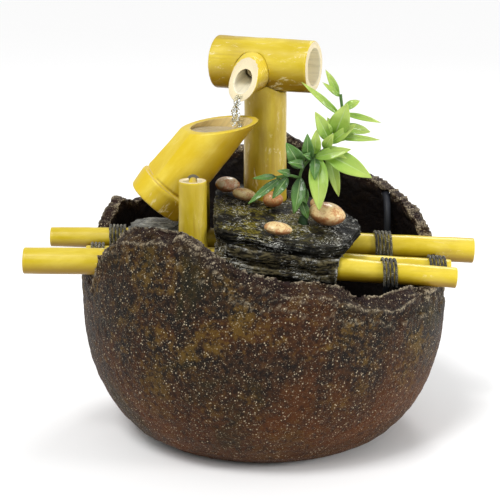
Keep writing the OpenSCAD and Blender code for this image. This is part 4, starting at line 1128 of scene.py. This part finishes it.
@dataclass
class Stones:
    """The slates, their packers, the knocking stone and the pebbles."""

    pitch: float = math.radians(7.4)
    roll: float = math.radians(8.5)
    tones: tuple[Colour, ...] = (
        rgb(202, 188, 158), rgb(218, 198, 142), rgb(200, 158, 104), rgb(226, 202, 146),
        rgb(226, 208, 152), rgb(226, 198, 142), rgb(204, 170, 120))

    def across(self) -> np.ndarray:
        """Return the slates' upward direction."""
        turn = Matrix.Rotation(self.roll, 3, "Y") @ Matrix.Rotation(self.pitch, 3, "X")
        return np.array(turn @ Vector((0, 0, 1)))

    def layered(self, slab: Slab) -> Callable[[np.ndarray, np.ndarray], np.ndarray]:
        """Return a rule that splits a slate's sides into layers and steps its top."""
        up = self.across()

        def shape(points: np.ndarray, normals: np.ndarray) -> np.ndarray:
            """Wear the points inwards, and let the front side grow."""
            level = points @ up
            flat = points - level[:, None] * up
            bands = flat * 26 + up * (np.round(level / (slab.layer * MM)) * 3.1)[:, None] + slab.seed
            split = np.array([noise.noise(Vector(row)) for row in bands])
            rough = turbulence(points, (150, 150, 260), 3, slab.seed)
            facing = np.abs(normals @ up)
            side = slab.depth * (0.5 + split) * (1 - facing)
            terraces = np.round(turbulence(points, (28, 28, 4), 3, slab.seed + 5) * 3) / 3
            top = 0.9 * (terraces - 0.6) * np.clip(facing * 2 - 1, 0, 1)
            inward = np.minimum(-side + rough * 0.35 + top - 0.2, 0.15)
            inward += slab.front * np.clip(-normals[:, 1], 0, 1)
            return points + normals * inward[:, None] * MM
        return shape

    def sleeve(self, pole: str, start: float, end: float, thick: float) -> bpy.types.Object:
        """Return a short sleeve of stone round a pole.

        Args:
            pole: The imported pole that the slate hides.
            start: Left end of the sleeve, in millimetres.
            end: Right end of the sleeve, in millimetres.
            thick: How thick the sleeve is, in millimetres.
        """
        sleeve = Bench.copied(pole, f"{pole}_sleeve")
        Bench.moved(sleeve, lambda points, normals: points + normals * thick * MM)
        for place, outside in ((start, -1), (end, 1)):
            Bench.edited(sleeve, lambda place=place, outside=outside: bpy.ops.mesh.bisect(
                plane_co=(place * MM, 0, 0), plane_no=(outside, 0, 0), use_fill=True,
                clear_outer=True))
        return sleeve

    def slab(self, slab: Slab) -> None:
        """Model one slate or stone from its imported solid."""
        name = f"{slab.node}_stone"
        parts = [self.sleeve(*slab.covered)] if slab.covered else []
        piece = Bench.copied(slab.node, name)
        if parts:
            piece = Bench.joined([piece, *parts], name)
        Bench.remeshed(piece, slab.voxel)
        Bench.moved(piece, self.layered(slab))
        Bench.edge_wear(piece, rounds=4, low=0.12, high=0.42)
        Bench.finished(piece, BODY, slab.finish.material(), slab.node, (slab.node,))

    def pebbles(self) -> None:
        """Model the pebbles, each its own piece with its own tone."""
        heap = Bench.copied("pebbles", "pebble")
        Bench.edited(heap, lambda: bpy.ops.mesh.separate(type="LOOSE"))
        stones = [p for p in bpy.context.selected_objects if p.name.startswith("pebble")]
        stones.sort(key=lambda stone: round(min(v.co.x for v in stone.data.vertices), 4))
        for index, stone in enumerate(stones):
            stone.name = f"pebble_{index + 1}"
            Bench.modified(stone, "SUBSURF", levels=2, render_levels=2)
            Bench.moved(stone, lambda points, normals: points + normals * (
                turbulence(points, (90, 90, 90), 3, index * 3)[:, None] * 0.55 * MM))
            finish = PebbleFinish(f"pebble_{index + 1}", self.tones[index % len(self.tones)])
            Bench.finished(stone, BODY, finish.material(), "pebbles", ("pebbles",))

    def build(self) -> None:
        """Model every stone."""
        top = SlateFinish("slate_top", moss_share=0.7)
        low = SlateFinish("slate_lower", stone=rgb(112, 102, 70), dark=rgb(22, 18, 12),
                          moss_share=0.35, wet=0.6)
        packer = SlateFinish("slate_packer", moss_share=0.2, wet=0.2)
        knock = SlateFinish("knock_stone", stone=rgb(158, 158, 150), dark=rgb(84, 84, 80),
                            moss_share=0.0, wet=0.3)
        for slab in (Slab("slate_top", 0.8, 1.5, 1.7, 1.0, top),
                     Slab("slate_lower", 0.6, 0.9, 2.1, 9.0, low, 2.0, ("pole_front", -33, 47, 1.9)),
                     Slab("slate_packer", 1.2, 1.6, 2.6, 15.0, packer),
                     Slab("knock_stone", 0.9, 1.4, 2.4, 22.0, knock)):
            self.slab(slab)
        self.pebbles()


@dataclass
class Fittings:
    """The pump, its hose and the small moulded and metal pieces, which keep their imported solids."""

    moulded: tuple[tuple[str, str, Colour, float], ...] = (
        ("pump_housing", "housing_plastic", rgb(30, 33, 36), 0.5),
        ("housing_lid", "lid_plastic", rgb(48, 53, 58), 0.5),
        ("chamber_cover", "chamber_plastic", rgb(40, 45, 50), 0.5),
        ("intake_cover", "intake_plastic", rgb(36, 40, 44), 0.5),
        ("flow_dial", "dial_plastic", rgb(62, 70, 78), 0.5),
        ("pump_rotor", "rotor_plastic", rgb(93, 97, 102), 0.5),
        ("shaft_bush_inner", "bush_rubber_inner", rgb(30, 30, 30), 0.7),
        ("shaft_bush_outer", "bush_rubber_outer", rgb(30, 30, 30), 0.7),
        ("chamber_seal", "seal_rubber", rgb(18, 18, 18), 0.7),
        ("suction_cups", "cup_rubber", rgb(122, 138, 146), 0.35),
        ("cable_gland", "gland_rubber", rgb(28, 30, 32), 0.6),
        ("hose", "hose_plastic", rgb(196, 184, 150), 0.3),
        ("plant_foot", "sprig_foot", rgb(44, 70, 40), 0.5),
        ("cord_tie", "tie_plastic", rgb(119, 122, 125), 0.45),
        ("plug_body", "plug_plastic", rgb(34, 35, 38), 0.4),
        ("rotor_shaft", "shaft_ceramic", rgb(232, 230, 223), 0.15))
    metals: tuple[tuple[str, str, Colour, float], ...] = (
        ("stator_core", "core_steel", rgb(154, 157, 160), 0.3),
        ("stator_coil", "coil_copper", rgb(190, 110, 60), 0.3),
        ("plug_pins", "pin_brass", rgb(206, 184, 104), 0.22))

    def build(self) -> None:
        """Dress every piece."""
        for node, name, colour, rough in self.moulded:
            dress(node, MouldedFinish(name, colour, rough).material())
        for node, name, colour, rough in self.metals:
            dress(node, MetalFinish(name, colour, rough).material())


@dataclass
class Lead:
    """The power lead, from the pump through the back wall to its coil and plug."""

    diameter: float = 5 * MM
    coil_turns: int = 3
    coil_mean: float = 27.5
    coil_step: float = 5.5
    coil_centre: tuple[float, float] = (68, 165)
    coil_low: float = 3.6
    turn_points: int = 24
    inner_y: float = 52
    outer_y: float = 96
    side_x: float = 89
    top_z: float = 149
    bend: float = 20
    rise_path: tuple[Point, ...] = (
        (74.6, 34.7, 33.7), (79.2, 35.2, 35.6), (83.3, 36, 38.8), (86.4, 37.3, 42.8), (88.4, 39, 47.5),
        (89, 41, 52.5), (89, 45.5, 68), (89, 49.5, 86), (89, 52, 104), (89, 52, 118))
    fall_path: tuple[Point, ...] = (
        (89, 116, 112), (89, 116.2, 94), (89.5, 117, 75), (91, 119, 56), (93.5, 123, 38),
        (96.5, 129, 24), (99.5, 137, 13), (102, 145, 6.5), (103.4, 151, 4.2), (103.75, 155, 3.6))
    tail: tuple[tuple[float, float], ...] = (
        (5, 9.1), (10, 8.8), (15, 7.9), (20, 7), (25, 6.6), (30, 6.6))

    def over_wall(self) -> list[Point]:
        """Return the lead's arch through the hole in the pot's back wall."""
        quarter = [math.radians(turn) for turn in range(0, 91, 15)]
        steps = [(self.bend * math.sin(turn), self.bend * math.cos(turn)) for turn in quarter]
        first, low = self.inner_y + self.bend, self.top_z - self.bend
        climb = [(self.side_x, first - cosine, low + sine) for sine, cosine in steps]
        crossing = (self.side_x, (first + self.outer_y) / 2, self.top_z)
        drop = [(self.side_x, self.outer_y + sine, low + cosine) for sine, cosine in steps]
        return [*climb, crossing, *drop]

    def coil(self) -> list[Vector]:
        """Return the coil's points: a layer spirals in, the lead climbs, and a layer spirals out."""
        middle = Vector((*self.coil_centre, 0))
        outer = self.coil_mean + self.coil_turns * self.coil_step / 2
        inner = outer - self.coil_turns * self.coil_step
        count = self.turn_points * self.coil_turns
        half = self.turn_points // 2
        high = self.coil_low + self.coil_step
        points = [middle + Vector((outer, -self.diameter / MM, self.coil_low))]

        def spot(radius: float, angle: float, height: float) -> Vector:
            """Return a point of the coil."""
            return middle + Vector((radius * math.cos(angle), radius * math.sin(angle), height))
        for index in range(count + 1):
            radius = outer + (inner - outer) * index / count
            points.append(spot(radius, 2 * math.pi * index / self.turn_points, self.coil_low))
        for index in range(1, half + 1):
            angle = math.pi * index / half
            dip = self.coil_step / 4 * (1 - abs(math.degrees(angle) - 90) / 90)
            height = self.coil_low + self.coil_step * (1 - math.cos(angle)) / 2
            points.append(spot(inner - dip, angle, height))
        for index in range(1, count + 1):
            radius = inner + (outer - inner) * index / count
            points.append(spot(radius, math.pi + 2 * math.pi * index / self.turn_points, high))
        points += [middle + Vector((-outer, -back, height)) for back, height in self.tail]
        return points

    def build(self) -> None:
        start = middle_of("cable_gland")
        start.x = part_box("cable_gland")[1].x
        free = (*self.rise_path, *self.over_wall(), *self.fall_path, *self.coil())
        points = [start, *(Vector(place) * MM for place in free)]
        lead = Bench.tube("lead", [points], self.diameter / 2, 4)
        material = MouldedFinish("lead_rubber", rgb(38, 40, 46), 0.45).material()
        Bench.finished(lead, BODY, material, "power_cord", ("power_cord", "cord_coil"), smooth=False)


@dataclass(frozen=True)
class Leaf:
    """One leaf: the stem it grows from, the step along that stem, its tip and its width."""

    stem: int
    step: float
    tip: Point
    width: float


@dataclass
class Sprig:
    """The green sprig: stems and leaves."""

    stem_r: float = 1.2
    gap: float = 0.65
    droop: float = 2.0
    stems: tuple[tuple[Point, ...], ...] = (
        ((26, -20, 154.8), (24, -21, 163.8), (23, -23, 175.8), (25, -23, 186.8), (31, -22, 194),
         (40, -21, 200), (46, -20, 208), (51, -19, 222), (50, -18, 236)),
        ((22.6, -24.1, 181.3), (16, -30, 184), (8, -36, 184)))
    left: tuple[Leaf, ...] = (
        Leaf(0, 3, (14, -30, 206), 11), Leaf(0, 3.7, (28, -30, 212), 8),
        Leaf(0, 2.5, (20, -34, 160), 9.5), Leaf(0, 3.3, (15, -36, 194), 6),
        Leaf(1, 1, (8, -43, 190), 5), Leaf(1, 2, (-8, -44, 185), 4), Leaf(1, 1.7, (-11, -44, 168), 5.5),
        Leaf(1, 1.1, (5, -38, 170), 7), Leaf(0, 1.1, (29, -24, 153), 6),
        Leaf(0, 1.5, (19.5, -26, 157), 6), Leaf(0, 2, (28, -26, 164), 7),
        Leaf(0, 1.7, (18.5, -24, 168), 5), Leaf(0, 4, (24.7, -30, 198), 5.5),
        Leaf(0, 4.2, (33, -31, 181), 7))
    right: tuple[Leaf, ...] = (
        Leaf(0, 4.8, (71, -28, 182), 13.5), Leaf(0, 6.1, (54, -30, 232), 13.5),
        Leaf(0, 5.6, (33, -27, 226), 9.5), Leaf(0, 7, (24, -24, 245), 4.5),
        Leaf(0, 7.9, (40, -16, 252), 5), Leaf(0, 7.3, (63, -14, 231), 5.5),
        Leaf(0, 7.1, (77, -18, 217), 4), Leaf(0, 6.5, (71, -9, 209), 7),
        Leaf(0, 6, (76, -26, 207), 4.5), Leaf(0, 5.7, (63, -8, 212), 8),
        Leaf(0, 4.2, (57, -27, 201), 8), Leaf(0, 4.4, (36, -34, 161), 13),
        Leaf(0, 5.1, (50, -15, 166), 8), Leaf(0, 4.3, (34, -27, 214), 7.5),
        Leaf(0, 5, (45, -29, 212), 7), Leaf(0, 5.2, (57, -25, 194), 6),
        Leaf(0, 7.9, (38, -19, 244), 3.5), Leaf(0, 6.2, (41, -26, 222), 6),
        Leaf(0, 5.5, (60, -27, 218), 7))

    def base(self, leaf: Leaf) -> Vector:
        """Return where a leaf starts, beside its stem."""
        stem = [Vector(p) for p in self.stems[leaf.stem]]
        index = min(int(leaf.step), len(stem) - 2)
        spot = stem[index].lerp(stem[index + 1], leaf.step - index)
        grow = (stem[index + 1] - stem[index]).normalized()
        away = Vector(leaf.tip) - spot
        return spot + (away - grow * away.dot(grow)).normalized() * (self.stem_r * 0.6 + self.gap / 2)

    def leaf(self, name: str, leaf: Leaf) -> bpy.types.Object:
        """Model one leaf from a grid: pointed, folded along its midrib, arched and rippled."""
        base, tip = self.base(leaf), Vector(leaf.tip)
        along = tip - base
        side = along.cross(Vector((0, -1, 0.35))).normalized()
        up = side.cross(along).normalized()
        bpy.ops.object.select_all(action="DESELECT")
        bpy.ops.mesh.primitive_grid_add(x_subdivisions=8, y_subdivisions=22, size=1)
        blade = Bench.named(name)

        def shape(points: np.ndarray, _: np.ndarray) -> np.ndarray:
            """Bend the flat grid into the leaf."""
            share = points[:, 1] + 0.5
            across = points[:, 0] * 2
            half = leaf.width / 2 * np.sin(math.pi * share ** 0.8).clip(0) ** 0.85
            arch = self.droop * np.sin(math.pi * share) + 0.28 * np.abs(across) ** 1.5 * half
            arch += 0.25 * np.sin(share * 17 + leaf.tip[0]) * np.abs(across)
            rows = (np.array(base)[None] + share[:, None] * np.array(along)
                    + (across * half)[:, None] * np.array(side) + arch[:, None] * np.array(up))
            return rows * MM
        Bench.moved(blade, shape)
        return Bench.modified(blade, "SOLIDIFY", thickness=0.35 * MM, offset=0)

    def foliage(self, name: str, leaves: tuple[Leaf, ...], finish: LeafFinish, node: str) -> None:
        """Model a group of leaves as one piece."""
        blades = [self.leaf(f"{name}_{index}", leaf) for index, leaf in enumerate(leaves)]
        group = Bench.joined(blades, name)
        Bench.finished(group, BODY, finish.material(), node, (node,))

    def build(self) -> None:
        """Model the stems and all leaves."""
        paths = [smooth_path([Vector(p) * MM for p in stem], 6) for stem in self.stems]
        stems = Bench.meshed(Bench.tube("sprig_stems", paths, self.stem_r * 0.85 * MM, 3))
        green = MouldedFinish("stem_green", rgb(70, 104, 44), 0.45).material()
        Bench.finished(stems, BODY, green, "plant_stems", ("plant_stems",))
        dark = LeafFinish("leaf_dark", rgb(34, 74, 34), rgb(98, 150, 52))
        bright = LeafFinish("leaf_bright", rgb(104, 160, 14), rgb(204, 224, 110))
        self.foliage("leaves_dark", self.left, dark, "leaves_left")
        self.foliage("leaves_bright", self.right, bright, "leaves_right")


@dataclass
class Water:
    """The falling stream and the water held in the trough."""

    fall_top: Point = (-16.8, -6.5, 233.5)
    fall_foot: Point = (-18.5, -9.0, 213.0)
    stream_r: float = 1.5
    strands: int = 5
    steps: int = 24
    pool_bottom: float = 38.2 * MM
    pool_top: float = 110 * MM
    pool_r: float = 14.1 * MM
    pool_level: float = 210.9 * MM

    def stream(self) -> None:
        """Model the stream as twisting strands that neck and swell."""
        top, foot = Vector(self.fall_top), Vector(self.fall_foot)
        strands = []
        for strand in range(self.strands):
            path, radii = [], []
            for step in range(self.steps + 1):
                share = step / self.steps
                turn = strand * 2 * math.pi / self.strands + share * 3.5
                spread = 1.3 + 1.1 * share
                point = top.lerp(foot, share)
                point.x += -1.5 * math.sin(math.pi * share) + spread * math.cos(turn)
                point.y += spread * math.sin(turn)
                path.append(point * MM)
                radii.append(0.55 + 0.45 * math.sin(share * 23 + strand * 2.1))
            tube = Bench.tube(f"strand_{strand}", [path], self.stream_r * MM, 3, radii)
            strands.append(Bench.meshed(tube))
        stream = Bench.joined(strands, "water_stream")
        Bench.remeshed(stream, 0.35)
        Bench.finished(stream, BODY, WaterFinish("stream_water", 260).material(), "hose")

    def pool(self) -> None:
        """Model the water held in the trough's chamber, up to the low side of its lip."""
        start, along = Canes().trough_axis()
        bottom, top = start + along * self.pool_bottom, start + along * self.pool_top
        bpy.ops.mesh.primitive_cylinder_add(
            vertices=96, radius=self.pool_r, depth=(top - bottom).length, location=(bottom + top) / 2,
            rotation=along.to_track_quat("Z", "Y").to_euler())
        pool = Bench.named("water_pool")
        bpy.ops.object.transform_apply(location=True, rotation=True, scale=True)
        room = 200 * MM
        above = (start.x, start.y, self.pool_level + room / 2)
        bpy.ops.mesh.primitive_cube_add(size=room, location=above)
        air = bpy.context.active_object
        Bench.modified(pool, "BOOLEAN", object=air, operation="DIFFERENCE", solver="EXACT")
        bpy.data.objects.remove(air)
        # The held water is a pale, mostly opaque brown: partly the tone seen through the water, and
        # partly a painted reflection of its bright surface.
        held = WaterFinish("held_water", 120, rgb(212, 198, 166), 0.25)
        Bench.finished(pool, TROUGH_BODY, held.material(), "trough", smooth=False)

    def build(self) -> None:
        """Model all the water."""
        self.stream()
        self.pool()


def main() -> None:
    """Build the fountain's looks in order."""
    logging.basicConfig(level=logging.INFO, format="%(name)s: %(message)s")
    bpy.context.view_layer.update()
    Studio().build()
    Lead().build()
    Pot().build()
    Canes().build()
    Lashings().build()
    Stones().build()
    Fittings().build()
    Sprig().build()
    Water().build()


if __name__ == "__main__":
    main()
